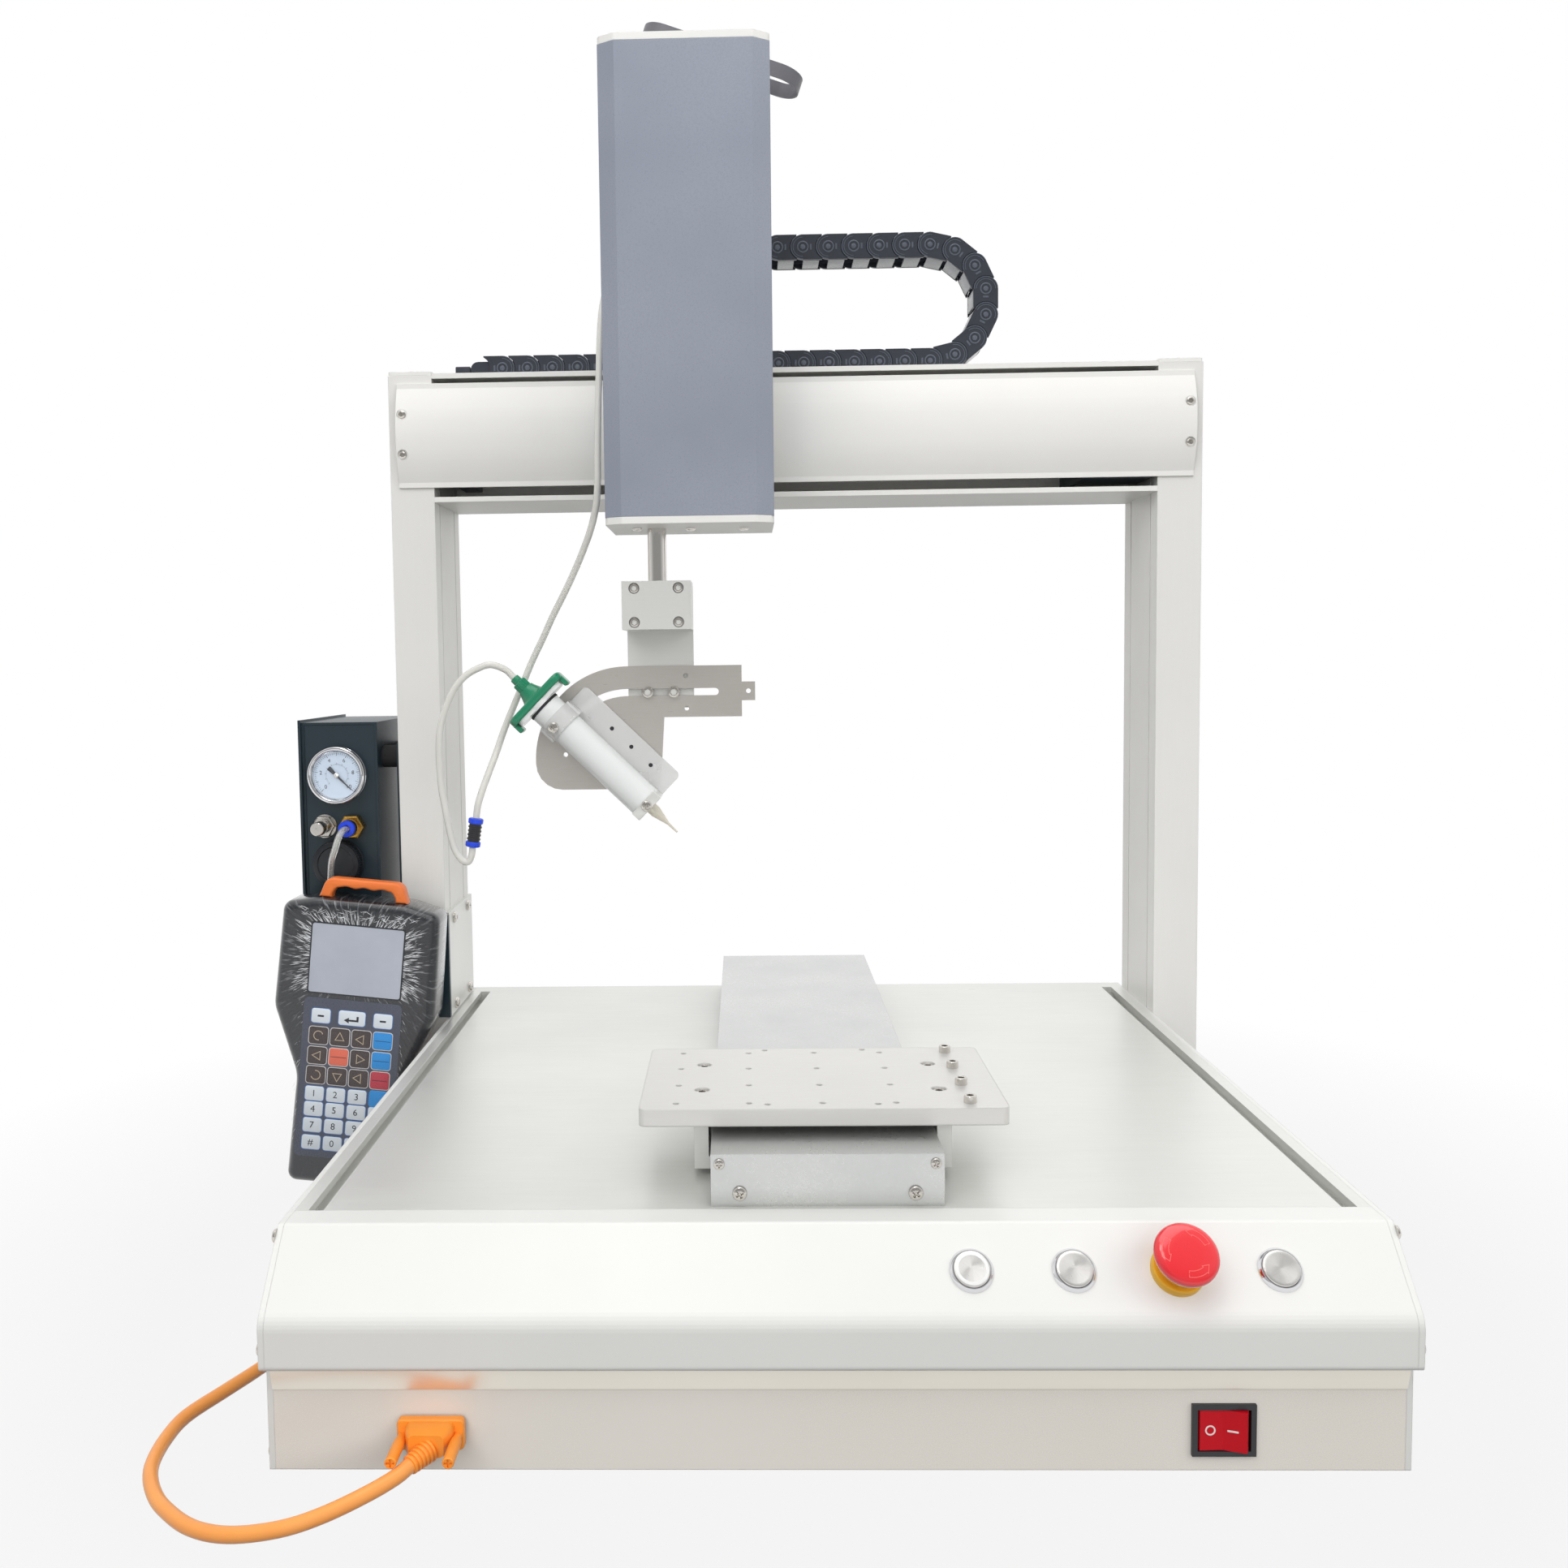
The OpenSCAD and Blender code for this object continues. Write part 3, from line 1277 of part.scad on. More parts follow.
module arc_bracket() {
    slot_z = arc_z + arc_slot_r;
    w = arc_slot_w / 2;
    color("silver") along_y(bracket_y, drop_y) difference() {
        union() {
            intersection() {
                translate([arc_x, arc_z]) circle(arc_r);
                translate([arc_x - arc_r, arc_z]) square([arc_r + over, arc_r]);
            }
            translate([arc_x, arm_low]) square([arm_end - arc_x, arm_top - arm_low]);
            translate([arm_end, arm_low + 12]) square([10, 14]);
            polygon(rounded([[arc_x - arc_r, arc_z], [arc_x - arc_r, lobe_low], [lobe_end, lobe_low],
                [lobe_end + 3.5, arm_low + over], [arc_x, arm_low + over], [arc_x, arc_z]],
                [0, 20, 2, 0, 0, 0]));
        }
        translate([arc_x, slot_z - w]) square([arm_end - 20 - arc_x, 2 * w]);
        translate([arm_end - 20, slot_z]) circle(w);
        intersection() {
            difference() {
                translate([arc_x, arc_z]) circle(arc_slot_r + w);
                translate([arc_x, arc_z]) circle(arc_slot_r - w);
            }
            translate([arc_x, arc_z]) polygon([[0, 0], [0, arc_r], [-arc_r, arc_r], [-arc_r, arc_r * tan(20)]]);
        }
        translate([arc_x + arc_slot_r * cos(160), arc_z + arc_slot_r * sin(160)]) circle(w);
        for (p = [[arm_end - 42, arm_top - 7.5], [arm_end - 41.5, arm_low + 6.5], [arm_end + 5, arm_low + 19]])
            translate(p) circle(1.8);
        translate([arc_x - 47.5, arc_z + 4]) circle(1.8);
    }
}

// Syringe parts are drawn upright from the needle tip, and then tilted
module syringe_place() {
    translate([tip_x, tip_y, tip_z]) rotate([0, -syringe_tilt, 0]) children();
}

nose_z = 26;
barrel_z = 30;
barrel_l = 110;
ear_t = 3;
ear_w = 43;
wing_w = 52;
lug_t = 3.6;
lug_drop = 3;
adapter_z = barrel_z + barrel_l;

module syringe_holder() {
    y1 = holder_y + holder_t;
    r = barrel_r + run_gap;
    color("silver") syringe_place() difference() {
        union() {
            slab([-12, holder_y, nose_z + 1], [31, y1, 125]);
            slab([-15, -16, nose_z + 1], [15, holder_y, 41]);
            slab([-15, 0, 112], [15, holder_y, 126]);
        }
        translate([0, 0, nose_z]) cylinder(h = 120, r = r);
        for (z = [48.5, 68.5, 88.5])
            bar_y(holder_y - over, y1 + over, 21, z, 2.6);
    }
}

module syringe_barrel() {
    wall = 1.5;
    r = barrel_r;
    color("whitesmoke") syringe_place() union() {
        rotate_extrude() polygon([[2, nose_z + 0.5], [3.6, nose_z + 0.5], [3.6, barrel_z - 1.5], [r - 2, barrel_z],
            [r, barrel_z + 2], [r, adapter_z], [r - wall, adapter_z], [r - wall, barrel_z + 3], [2, barrel_z + 1]]);
        translate([0, 0, adapter_z - ear_t]) linear_extrude(ear_t) difference() {
            polygon(round_rect([-ear_w / 2, -barrel_r + 1], [ear_w / 2, barrel_r - 1], 6));
            circle(r = r - wall);
        }
    }
}

module syringe_adapter() {
    color("mediumseagreen") syringe_place() union() {
        translate([0, 0, adapter_z]) linear_extrude(6)
            polygon(round_rect([-wing_w / 2, -13], [wing_w / 2, 13], 8));
        for (s = [-1, 1])
            translate([s * (wing_w / 2 - lug_t / 2), 0, adapter_z - ear_t - lug_drop])
                linear_extrude(ear_t + lug_drop + 3)
                    polygon(round_rect([-lug_t / 2, -7], [lug_t / 2, 7], 1.2));
        translate([0, 0, adapter_z + 6]) cylinder(h = 8, r1 = 9, r2 = 6.5);
        translate([0, 0, adapter_z + 14]) cylinder(h = 12, r = 3.6);
    }
}

module needle() {
    color("tan") syringe_place() rotate_extrude()
        polygon([[0, 0], [0.7, 0], [1, 9], [4.4, nose_z - 4], [4.4, nose_z + 0.5], [0, nose_z + 0.5]]);
}

// Work axis
module y_carriage() {
    y0 = plate_mid - carriage_l / 2;
    y1 = plate_mid + carriage_l / 2;
    nut_z = y_screw_z - 11;
    color("gray") difference() {
        union() {
            slab([-leg_x - leg_t, y0, wing_z0], [leg_x + leg_t, y1, wing_z1]);
            for (x = [-leg_x - leg_t, leg_x])
                slab([x, y0, wing_z1], [x + leg_t, y1, plate_z]);
            slab([-neck_w / 2, plate_mid - nut_l / 2, y_screw_z], [neck_w / 2, plate_mid + nut_l / 2, wing_z0]);
            slab([-nut_w / 2, plate_mid - nut_l / 2, nut_z],
                [nut_w / 2, plate_mid + nut_l / 2, y_screw_z + 11]);
        }
        for (s = [-1, 1])
            slab([s * y_rail_x - y_rail_w / 2 - slide_gap, y0 - over, wing_z0 - over],
                [s * y_rail_x + y_rail_w / 2 + slide_gap, y1 + over, z_deck + y_rail_h + slide_gap]);
        bar_y(plate_mid - nut_l, plate_mid + nut_l, 0, y_screw_z, y_screw_r + run_gap);
    }
}

module work_plate() {
    w = plate_w / 2;
    color("lightgray") difference() {
        translate([0, 0, plate_z]) linear_extrude(plate_t)
            polygon(round_rect([-w, plate_y], [w, plate_y + plate_d], 4));
        for (i = [-2:1]) for (j = [-1.5:1.5])
            bar_z(plate_z - over, plate_z + plate_t + over, i * hole_pitch_x, plate_mid + j * hole_pitch_y, hole_r);
        for (j = [-1.5:1.5])
            bar_z(plate_z - over, plate_z + plate_t + over, 2 * hole_pitch_x, plate_mid + j * hole_pitch_y,
                hole_r + run_gap);
        for (x = [-30, 30]) for (y = [plate_y + 8, plate_y + plate_d - 4])
            bar_z(plate_z - over, plate_z + plate_t + over, x, y, hole_r);
        for (s = [-1, 1]) for (y = [-24, 24])
            bar_z(plate_z + plate_t - 5, plate_z + plate_t + over, s * (leg_x + leg_t / 2), plate_mid + y, 4.2);
    }
}

module plate_screws() {
    top = plate_z + plate_t;
    color("dimgray") {
        for (j = [-1.5:1.5]) {
            bar_z(plate_z, top, 2 * hole_pitch_x, plate_mid + j * hole_pitch_y, hole_r);
            bar_z(top, top + 4, 2 * hole_pitch_x, plate_mid + j * hole_pitch_y, 3.5);
        }
        for (s = [-1, 1]) for (y = [-24, 24])
            bar_z(top - 5, top - 1.5, s * (leg_x + leg_t / 2), plate_mid + y, 3.8);
    }
}

base_pan();
side_panels();
front_console();
deck_plate();
rubber_feet();
columns();
column_caps();
x_beam();
beam_cover();
guide_rails();
axis_motors();
y_cover();
electronics();
button_bezels();
estop_collar();
panel_sockets();
controller_case();
controller_panel();
pressure_gauge();
panel_fittings();
column_bracket();
clamp_plate();
pendant_body();
pendant_handle();
pendant_keypad();
pendant_cable();
cable_plug();
energy_chain();
outlet_tube();
case_screws();
x_carriage();
z_housing();
z_end_plates();
z_motor();
supply_tube();
z_slide();
tube_connector();
r_shaft();
clamp_block();
drop_plate();
arc_bracket();
syringe_holder();
syringe_barrel();
syringe_adapter();
needle();
syringe_tube();
y_carriage();
work_plate();
plate_screws();
start_button();
pause_button();
reset_button();
estop_head();
rocker();
gauge_pointer();
regulator_knob();
vacuum_knob();
x_screw();
y_screw();
z_screw();
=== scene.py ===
import math
import random

import bmesh
import bpy
from mathutils import Matrix, Vector


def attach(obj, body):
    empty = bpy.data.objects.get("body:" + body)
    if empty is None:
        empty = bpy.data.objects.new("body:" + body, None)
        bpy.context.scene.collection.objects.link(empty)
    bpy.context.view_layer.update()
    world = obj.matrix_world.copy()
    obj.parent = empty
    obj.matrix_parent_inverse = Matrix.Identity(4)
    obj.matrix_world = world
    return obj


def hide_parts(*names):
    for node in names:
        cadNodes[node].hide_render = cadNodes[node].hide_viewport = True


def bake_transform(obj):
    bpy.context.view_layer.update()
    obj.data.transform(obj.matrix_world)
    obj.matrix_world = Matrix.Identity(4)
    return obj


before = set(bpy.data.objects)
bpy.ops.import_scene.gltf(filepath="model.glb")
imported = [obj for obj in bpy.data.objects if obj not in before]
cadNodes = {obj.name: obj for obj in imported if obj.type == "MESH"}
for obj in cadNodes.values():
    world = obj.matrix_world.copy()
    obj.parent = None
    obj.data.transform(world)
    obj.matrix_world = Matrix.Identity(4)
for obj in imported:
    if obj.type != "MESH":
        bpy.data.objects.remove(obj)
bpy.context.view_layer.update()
scene = bpy.context.scene
scene.view_settings.view_transform = "Standard"


milli = Matrix.Scale(0.001, 4)  # drawn in millimetres, kept in metres


def mm(x, y, z):
    return Vector((x, y, z)) * 0.001


def tone(red, green, blue):  # display values to the linear ones that sockets take
    def linear(v):
        v /= 255
        return v / 12.92 if v <= 0.04045 else ((v + 0.055) / 1.055) ** 2.4

    return (linear(red), linear(green), linear(blue), 1.0)


# Camera at the photograph's place

photoCamera = {
    "place": mm(-40.3, -914.2, 408.1),
    "yaw": -0.024,
    "pitch": 0.067,
    "roll": -0.013,
    "sensor": 36.0,
    "focalPixels": 1700.0,
    "framePixels": 1932.0,
    "axisPixel": (876.9, 927.0),  # where the lens axis meets the picture
}


def makeCamera(look):
    yaw, pitch, roll = look["yaw"], look["pitch"], look["roll"]
    forward = Vector((math.sin(yaw) * math.cos(pitch), math.cos(yaw) * math.cos(pitch), -math.sin(pitch)))
    level = Vector((math.cos(yaw), -math.sin(yaw), 0))
    upright = level.cross(forward)
    right = level * math.cos(roll) + upright * math.sin(roll)
    up = upright * math.cos(roll) - level * math.sin(roll)
    data = bpy.data.cameras.new("photoCamera")
    data.sensor_width = look["sensor"]
    data.lens = data.sensor_width * look["focalPixels"] / look["framePixels"]
    data.shift_x = 0.5 - look["axisPixel"][0] / look["framePixels"]
    data.shift_y = look["axisPixel"][1] / look["framePixels"] - 0.5
    data.clip_start = 0.02
    camera = bpy.data.objects.new("photoCamera", data)
    turn = Matrix((right, up, -forward)).transposed().to_4x4()
    camera.matrix_world = Matrix.Translation(look["place"]) @ turn
    scene.collection.objects.link(camera)
    scene.camera = camera


makeCamera(photoCamera)
print("camera set")


# Finishes: colour, roughness and bump all come from nodes on Object coordinates


finishes = {}


def feedNode(tree, node, inputs):  # each input takes a link or a plain value
    for key, value in inputs.items():
        if isinstance(value, bpy.types.NodeSocket):
            tree.links.new(value, node.inputs[key])
        else:
            node.inputs[key].default_value = value


def addNode(tree, kind, inputs=None, **settings):
    node = tree.nodes.new(kind)
    for key, value in settings.items():
        setattr(node, key, value)
    feedNode(tree, node, inputs or {})
    return node


def startFinish(name):
    material = bpy.data.materials.new(name)
    material.use_nodes = True
    finishes[name] = material
    return material.node_tree, material.node_tree.nodes["Principled BSDF"]


def objectPlace(tree):
    return addNode(tree, "ShaderNodeTexCoord").outputs["Object"]


def addNoise(tree, source, scale, detail=3.0, rough=0.55):
    inputs = {"Vector": source, "Scale": scale, "Detail": detail, "Roughness": rough}
    return addNode(tree, "ShaderNodeTexNoise", inputs).outputs["Fac"]


def addRange(tree, source, low, high, start=0.25, end=0.75):
    inputs = {"Value": source, "From Min": start, "From Max": end, "To Min": low, "To Max": high}
    return addNode(tree, "ShaderNodeMapRange", inputs).outputs["Result"]


def addMix(tree, factor, first, second):
    inputs = {"Factor": factor, "A": first, "B": second}
    return addNode(tree, "ShaderNodeMix", inputs, data_type="RGBA").outputs["Result"]


def addMath(tree, operation, *values):
    return addNode(tree, "ShaderNodeMath", dict(enumerate(values)), operation=operation).outputs[0]


def addLength(tree, source):
    return addNode(tree, "ShaderNodeVectorMath", {0: source}, operation="LENGTH").outputs["Value"]


def addMapping(tree, source, **inputs):
    return addNode(tree, "ShaderNodeMapping", {"Vector": source, **inputs}).outputs["Vector"]


def addBump(tree, height, strength, depth, **inputs):
    inputs.update(Height=height, Strength=strength, Distance=depth)
    return addNode(tree, "ShaderNodeBump", inputs).outputs["Normal"]


fineShare = 0.35  # of the fine grain in the mix of two colours, the rest is cloud


def addFinish(name, first, second, rough, spread=0.05, metal=0.0, grain=1800, stretch=(1, 1, 1),
              depth=0.00003, strength=0.25, broad=9.0, edge=0.0, sockets=None):
    tree, shader = startFinish(name)
    place = objectPlace(tree)
    fine = addNoise(tree, addMapping(tree, place, Scale=stretch), grain)
    cloud = addNoise(tree, place, broad, 4.0)
    mixed = addMath(tree, "MULTIPLY_ADD", fine, fineShare, addRange(tree, cloud, 0.0, 1 - fineShare))
    worn = addMath(tree, "ADD", addRange(tree, fine, rough - spread, rough + spread),
                   addRange(tree, cloud, -spread * 0.6, spread * 0.6))
    rounded = {}
    if edge:
        rounded["Normal"] = addNode(tree, "ShaderNodeBevel", {"Radius": edge}, samples=4).outputs["Normal"]
    feedNode(tree, shader, {
        "Base Color": addMix(tree, mixed, tone(*first), tone(*second)), "Roughness": worn, "Metallic": metal,
        "Normal": addBump(tree, fine, strength, depth, **rounded), **(sockets or {})})


gloss = {"Coat Weight": 0.35, "Coat Roughness": 0.12}
addFinish("whitePaint", (230, 230, 227), (224, 224, 221), 0.32, grain=2200, edge=0.0008)
addFinish("satinWhite", (240, 239, 235), (234, 233, 229), 0.42, grain=2600, depth=0.00002, edge=0.0006)
addFinish("creamPaint", (236, 231, 223), (230, 224, 215), 0.26, grain=1900, edge=0.0008)
addFinish("deckAluminium", (232, 232, 228), (224, 225, 221), 0.34, metal=0.5, grain=420, stretch=(0.06, 1, 1),
          depth=0.00002, edge=0.0006)
addFinish("columnAluminium", (238, 237, 233), (230, 229, 225), 0.42, metal=0.15, grain=700,
          stretch=(1, 1, 0.05), depth=0.00002, edge=0.0006)
addFinish("plateAluminium", (220, 219, 215), (212, 211, 208), 0.34, metal=0.3, grain=900,
          stretch=(0.08, 1, 1), edge=0.0016)
addFinish("plainAluminium", (230, 230, 226), (220, 220, 217), 0.34, metal=0.35, grain=900,
          stretch=(0.08, 1, 1), edge=0.0005)
addFinish("arcSteel", (208, 203, 197), (188, 184, 178), 0.34, 0.08, metal=0.6, grain=1100,
          stretch=(0.05, 1, 1), edge=0.0003)
addFinish("brightSteel", (232, 229, 224), (214, 211, 207), 0.13, 0.05, metal=1.0, grain=1200,
          stretch=(1, 1, 0.1), depth=0.00001, edge=0.0003)
addFinish("screwSteel", (226, 222, 216), (204, 200, 194), 0.25, 0.08, metal=1.0, grain=2400)
addFinish("zincSheet", (222, 223, 221), (208, 210, 209), 0.3, 0.04, metal=0.92, grain=600, depth=0.000003,
          strength=0.08, broad=22.0, edge=0.0005)
addFinish("housingPaint", (160, 166, 179), (130, 137, 152), 0.3, 0.08, grain=1100, depth=0.00004, broad=6.0,
          edge=0.001, sockets=gloss)
addFinish("chainPlastic", (58, 62, 72), (45, 49, 57), 0.34, 0.1, grain=2600, depth=0.00005, broad=90.0)
# the bars' pale colour is a painted reflection of the floor
addFinish("chainBar", (196, 197, 199), (170, 172, 175), 0.3, 0.08, depth=0.00004, broad=60.0)
addFinish("blackPaint", (36, 53, 62), (28, 44, 52), 0.36, 0.08, grain=1700, depth=0.00006, edge=0.0006)
addFinish("blackPlastic", (46, 46, 49), (36, 36, 39), 0.4, 0.08, grain=3000, depth=0.00005, edge=0.0003)
addFinish("pendantPlastic", (50, 52, 56), (38, 40, 44), 0.3, 0.1, grain=2600, depth=0.00006, broad=20.0)
addFinish("orangePlastic", (247, 132, 62), (238, 118, 50), 0.36, 0.06, grain=2600, depth=0.00004, broad=40.0)
addFinish("plugOrange", (255, 162, 60), (250, 148, 44), 0.38, 0.06, grain=3000, depth=0.00004, broad=60.0)
addFinish("cableOrange", (252, 170, 88), (244, 154, 72), 0.34, 0.08, grain=2400, depth=0.00004, broad=30.0)
addFinish("redPlastic", (232, 26, 40), (222, 18, 32), 0.2, 0.04, grain=2200, depth=0.00001,
          sockets={"Coat Weight": 1.0, "Coat Roughness": 0.03})
addFinish("rockerRed", (206, 12, 32), (192, 8, 26), 0.3, 0.06, grain=3600, edge=0.0003,
          sockets={"Specular IOR Level": 0.25})
addFinish("yellowPlastic", (238, 186, 44), (226, 170, 34), 0.35, grain=2400, edge=0.0004)
addFinish("whitePlastic", (238, 238, 235), (228, 229, 228), 0.36, grain=2600, edge=0.0003)
addFinish("blackRubber", (44, 44, 46), (34, 34, 36), 0.72, 0.08, grain=2200, depth=0.0001, strength=0.4)
addFinish("greenPlastic", (20, 138, 98), (12, 122, 86), 0.3, 0.06, grain=2400, edge=0.0004, sockets=gloss)
addFinish("tanPlastic", (206, 190, 164), (186, 168, 140), 0.3, grain=2400, metal=0.25)
addFinish("needleSteel", (232, 227, 212), (218, 212, 197), 0.3, 0.02, grain=2600, metal=0.3, depth=0.000003,
          strength=0.05)
addFinish("chromeTrim", (232, 232, 234), (222, 222, 225), 0.06, 0.02, metal=1.0, grain=300, depth=0.000002,
          strength=0.04)
addFinish("brassFitting", (212, 170, 88), (194, 150, 70), 0.24, 0.06, metal=1.0, grain=2000)
addFinish("bluePlastic", (36, 78, 236), (28, 64, 214), 0.3, grain=2600)
addFinish("cableGrey", (112, 112, 118), (96, 96, 102), 0.4, 0.08, grain=900, stretch=(0.1, 0.1, 1),
          depth=0.00008, broad=30.0)
addFinish("knobBlack", (34, 37, 42), (25, 28, 33), 0.36, 0.08, grain=2600, depth=0.00005, broad=60.0)
# the paler grey of the link rims and pins is a painted highlight
addFinish("chainRimHighlight", (94, 100, 112), (78, 84, 95), 0.3, 0.08, grain=2200, broad=80.0)
addFinish("circuitGreen", (36, 98, 58), (26, 80, 46), 0.45, grain=1200, depth=0.0001, broad=160.0)


def addClear(name, first, second, rough, weight, ior, cloudy):
    tree, shader = startFinish(name)
    place = objectPlace(tree)
    streak = addNoise(tree, place, cloudy)
    feedNode(tree, shader, {
        "Base Color": addMix(tree, streak, tone(*first), tone(*second)),
        "Roughness": addRange(tree, streak, rough * 0.6, rough * 1.5),
        "Normal": addBump(tree, addNoise(tree, place, 700), 0.06, 0.00004),
        "Transmission Weight": weight, "IOR": ior, "Coat Weight": 0.5, "Coat Roughness": 0.08})


addClear("clearTube", (248, 249, 247), (242, 243, 240), 0.06, 0.82, 1.3, 12.0)
addClear("milkTube", (242, 241, 235), (234, 233, 226), 0.2, 0.22, 1.4, 25.0)
addClear("frostedPlastic", (248, 249, 248), (242, 245, 244), 0.42, 0.16, 1.42, 14.0)
addClear("acrylicPlate", (238, 238, 237), (230, 231, 230), 0.22, 0.3, 1.45, 30.0)
addClear("gaugeGlass", (250, 251, 252), (244, 247, 250), 0.03, 1.0, 1.2, 30.0)
print("finishes:", len(finishes))


# Mesh tools


def addObject(name, data):
    thing = bpy.data.objects.new(name, data)
    scene.collection.objects.link(thing)
    return thing


def shadeMesh(mesh, sharp=32.0):
    mesh.polygons.foreach_set("use_smooth", [True] * len(mesh.polygons))
    mesh.set_sharp_from_angle(angle=math.radians(sharp))


def closeMesh(name, bm, material=None, sharp=32.0):
    bmesh.ops.remove_doubles(bm, verts=bm.verts, dist=1e-7)
    bmesh.ops.recalc_face_normals(bm, faces=bm.faces)
    mesh = bpy.data.meshes.new(name)
    bm.to_mesh(mesh)
    bm.free()
    shadeMesh(mesh, sharp)
    if material:
        mesh.materials.append(material)
    return mesh


def bakeMesh(holder):  # the mesh that an object comes to, without the object
    graph = bpy.context.evaluated_depsgraph_get()
    mesh = bpy.data.meshes.new_from_object(holder.evaluated_get(graph), depsgraph=graph)
    bpy.data.objects.remove(holder)
    return mesh


def addPiece(name, mesh, body, stands=()):
    piece = addObject(name, mesh)
    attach(piece, body)
    if stands:
        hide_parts(*stands)
    return piece


def shapePiece(name, bm, finish, body, stands=(), sharp=32.0):
    return addPiece(name, closeMesh(name, bm, finishes[finish], sharp), body, stands)


def repeatPiece(name, shape, places, finish, body, stands=()):
    return addPiece(name, repeatShape(name, shape, places, finishes[finish]), body, stands)


def turnedPiece(name, profile, place, sides, finish, body, stands=(), sharp=32.0, ring=False):
    bm = bmesh.new()
    lathe(bm, profile, place, sides, ring)
    return shapePiece(name, bm, finish, body, stands, sharp)


def bridge(bm, first, second):
    count = max(len(first), len(second))
    for i in range(count):
        j = (i + 1) % count
        corners = [first[i % len(first)], first[j % len(first)], second[j % len(second)],
                   second[i % len(second)]]
        unique = list(dict.fromkeys(corners))
        if len(unique) > 2:
            bm.faces.new(unique)


def spot(x, y, z, turn=Matrix()):  # draws in millimetres at a place, with a turn
    return Matrix.Translation(mm(x, y, z)) @ turn @ milli


def turned(axis, degrees):
    return Matrix.Rotation(math.radians(degrees), 4, axis)


def moved(x, y, z):
    return Matrix.Translation((x, y, z))


frontTurn = turned("X", 90)  # +Z of a drawn shape comes to the front
# an outline comes to XZ, its depth to Y
swapYZ = Matrix(((1, 0, 0, 0), (0, 0, 1, 0), (0, 1, 0, 0), (0, 0, 0, 1)))


def polar(radius, angle):
    return radius * math.cos(angle), radius * math.sin(angle)


def circle(sides):
    return [2 * math.pi * k / sides for k in range(sides)]


def arcTurns(start, sweep, steps):
    return [start + sweep * k / steps for k in range(steps + 1)]


def skin(bm, rings, ring=False):  # walls from ring to ring, then both ends or the way back to the first
    for first, second in zip(rings, rings[1:]):
        bridge(bm, first, second)
    if ring:
        bridge(bm, rings[-1], rings[0])
        return
    for end in (rings[0], rings[-1]):
        if len(end) > 1:
            bm.faces.new(end)


def lathe(bm, profile, place=Matrix(), sides=48, ring=False):  # profile of (radius, height)
    rings = []
    for radius, height in profile:
        turns = circle(sides) if radius else [0.0]
        rings.append([bm.verts.new(place @ Vector((*polar(radius, t), height))) for t in turns])
    skin(bm, rings, ring)


def loft(bm, outlines, place=Matrix(), ring=False):  # outlines of (points, height)
    rings = [[bm.verts.new(place @ Vector((x, y, height))) for x, y in points] for points, height in outlines]
    skin(bm, rings, ring)


def layered(outline, edges):  # edges of (height, inset)
    return [(shrink(outline, inset) if inset else outline, height) for height, inset in edges]


def prism(bm, outline, low, high, place=Matrix(), chamfer=0.0):  # outline in XY, carried along Z
    edges = [(high - chamfer, 0.0), (high, chamfer)] if chamfer else [(high, 0.0)]
    loft(bm, layered(outline, [(low, 0.0)] + edges), place)


def shrink(outline, inset):  # moves each side of an outline inwards
    count = len(outline)
    area = sum(outline[i][0] * outline[(i + 1) % count][1] - outline[(i + 1) % count][0] * outline[i][1]
               for i in range(count))
    side = 1.0 if area > 0 else -1.0
    result = []
    for i in range(count):
        before, here, after = (Vector(outline[(i + k) % count]) for k in (-1, 0, 1))
        a, b = (here - before).normalized(), (after - here).normalized()
        na, nb = Vector((-a.y, a.x)) * side, Vector((-b.y, b.x)) * side
        lean = max(0.35, 1 + na.dot(nb))
        move = (na + nb) / lean * inset
        result.append((here.x + move.x, here.y + move.y))
    return result


def roundOutline(points, radii, steps=6):  # closed outline with each corner rounded
    result = []
    count = len(points)
    for i, (point, radius) in enumerate(zip(points, radii)):
        here = Vector(point)
        if radius <= 0:
            result.append((here.x, here.y))
            continue
        a = (Vector(points[i - 1]) - here).normalized()
        b = (Vector(points[(i + 1) % count]) - here).normalized()
        half = math.acos(max(-1, min(1, a.dot(b)))) / 2
        reach = radius / math.tan(half)
        centre = here + (a + b).normalized() * radius / math.sin(half)
        start, end = here + a * reach - centre, here + b * reach - centre
        angle = math.atan2(start.y, start.x)
        sweep = (math.atan2(end.y, end.x) - angle + 3 * math.pi) % (2 * math.pi) - math.pi
        for k in range(steps + 1):
            t = angle + sweep * k / steps
            result.append((centre.x + radius * math.cos(t), centre.y + radius * math.sin(t)))
    return result


def roundRect(x0, y0, x1, y1, radius, steps=6):
    return roundOutline([(x0, y0), (x1, y0), (x1, y1), (x0, y1)], [radius] * 4, steps)


def block(bm, low, high, bevel=0.0, place=Matrix(), segments=2):
    made = bmesh.ops.create_cube(bm, size=1.0)["verts"]
    size, middle = Vector(high) - Vector(low), (Vector(high) + Vector(low)) / 2
    for vert in made:
        vert.co = Vector((vert.co.x * size.x, vert.co.y * size.y, vert.co.z * size.z)) + middle
    if bevel:
        edges = {edge for vert in made for edge in vert.link_edges}
        made = bmesh.ops.bevel(bm, geom=list(edges), offset=bevel, segments=segments, affect="EDGES",
                               profile=0.5)["verts"]
        made = set(made) | {v for face in {f for v in made for f in v.link_faces} for v in face.verts}
    for vert in made:
        vert.co = place @ vert.co


def smoothPath(points, steps):  # one smooth curve through a route's points
    points = [Vector(p) for p in points]
    last = len(points) - 1
    path = []
    for i in range(last):
        a, b, c, d = points[max(i - 1, 0)], points[i], points[i + 1], points[min(i + 2, last)]
        for k in range(steps):
            t = k / steps
            path.append(0.5 * (2 * b + (c - a) * t + (2 * a - 5 * b + 4 * c - d) * t * t
                               + (3 * b - a - 3 * c + d) * t ** 3))
    return path + [points[-1]]


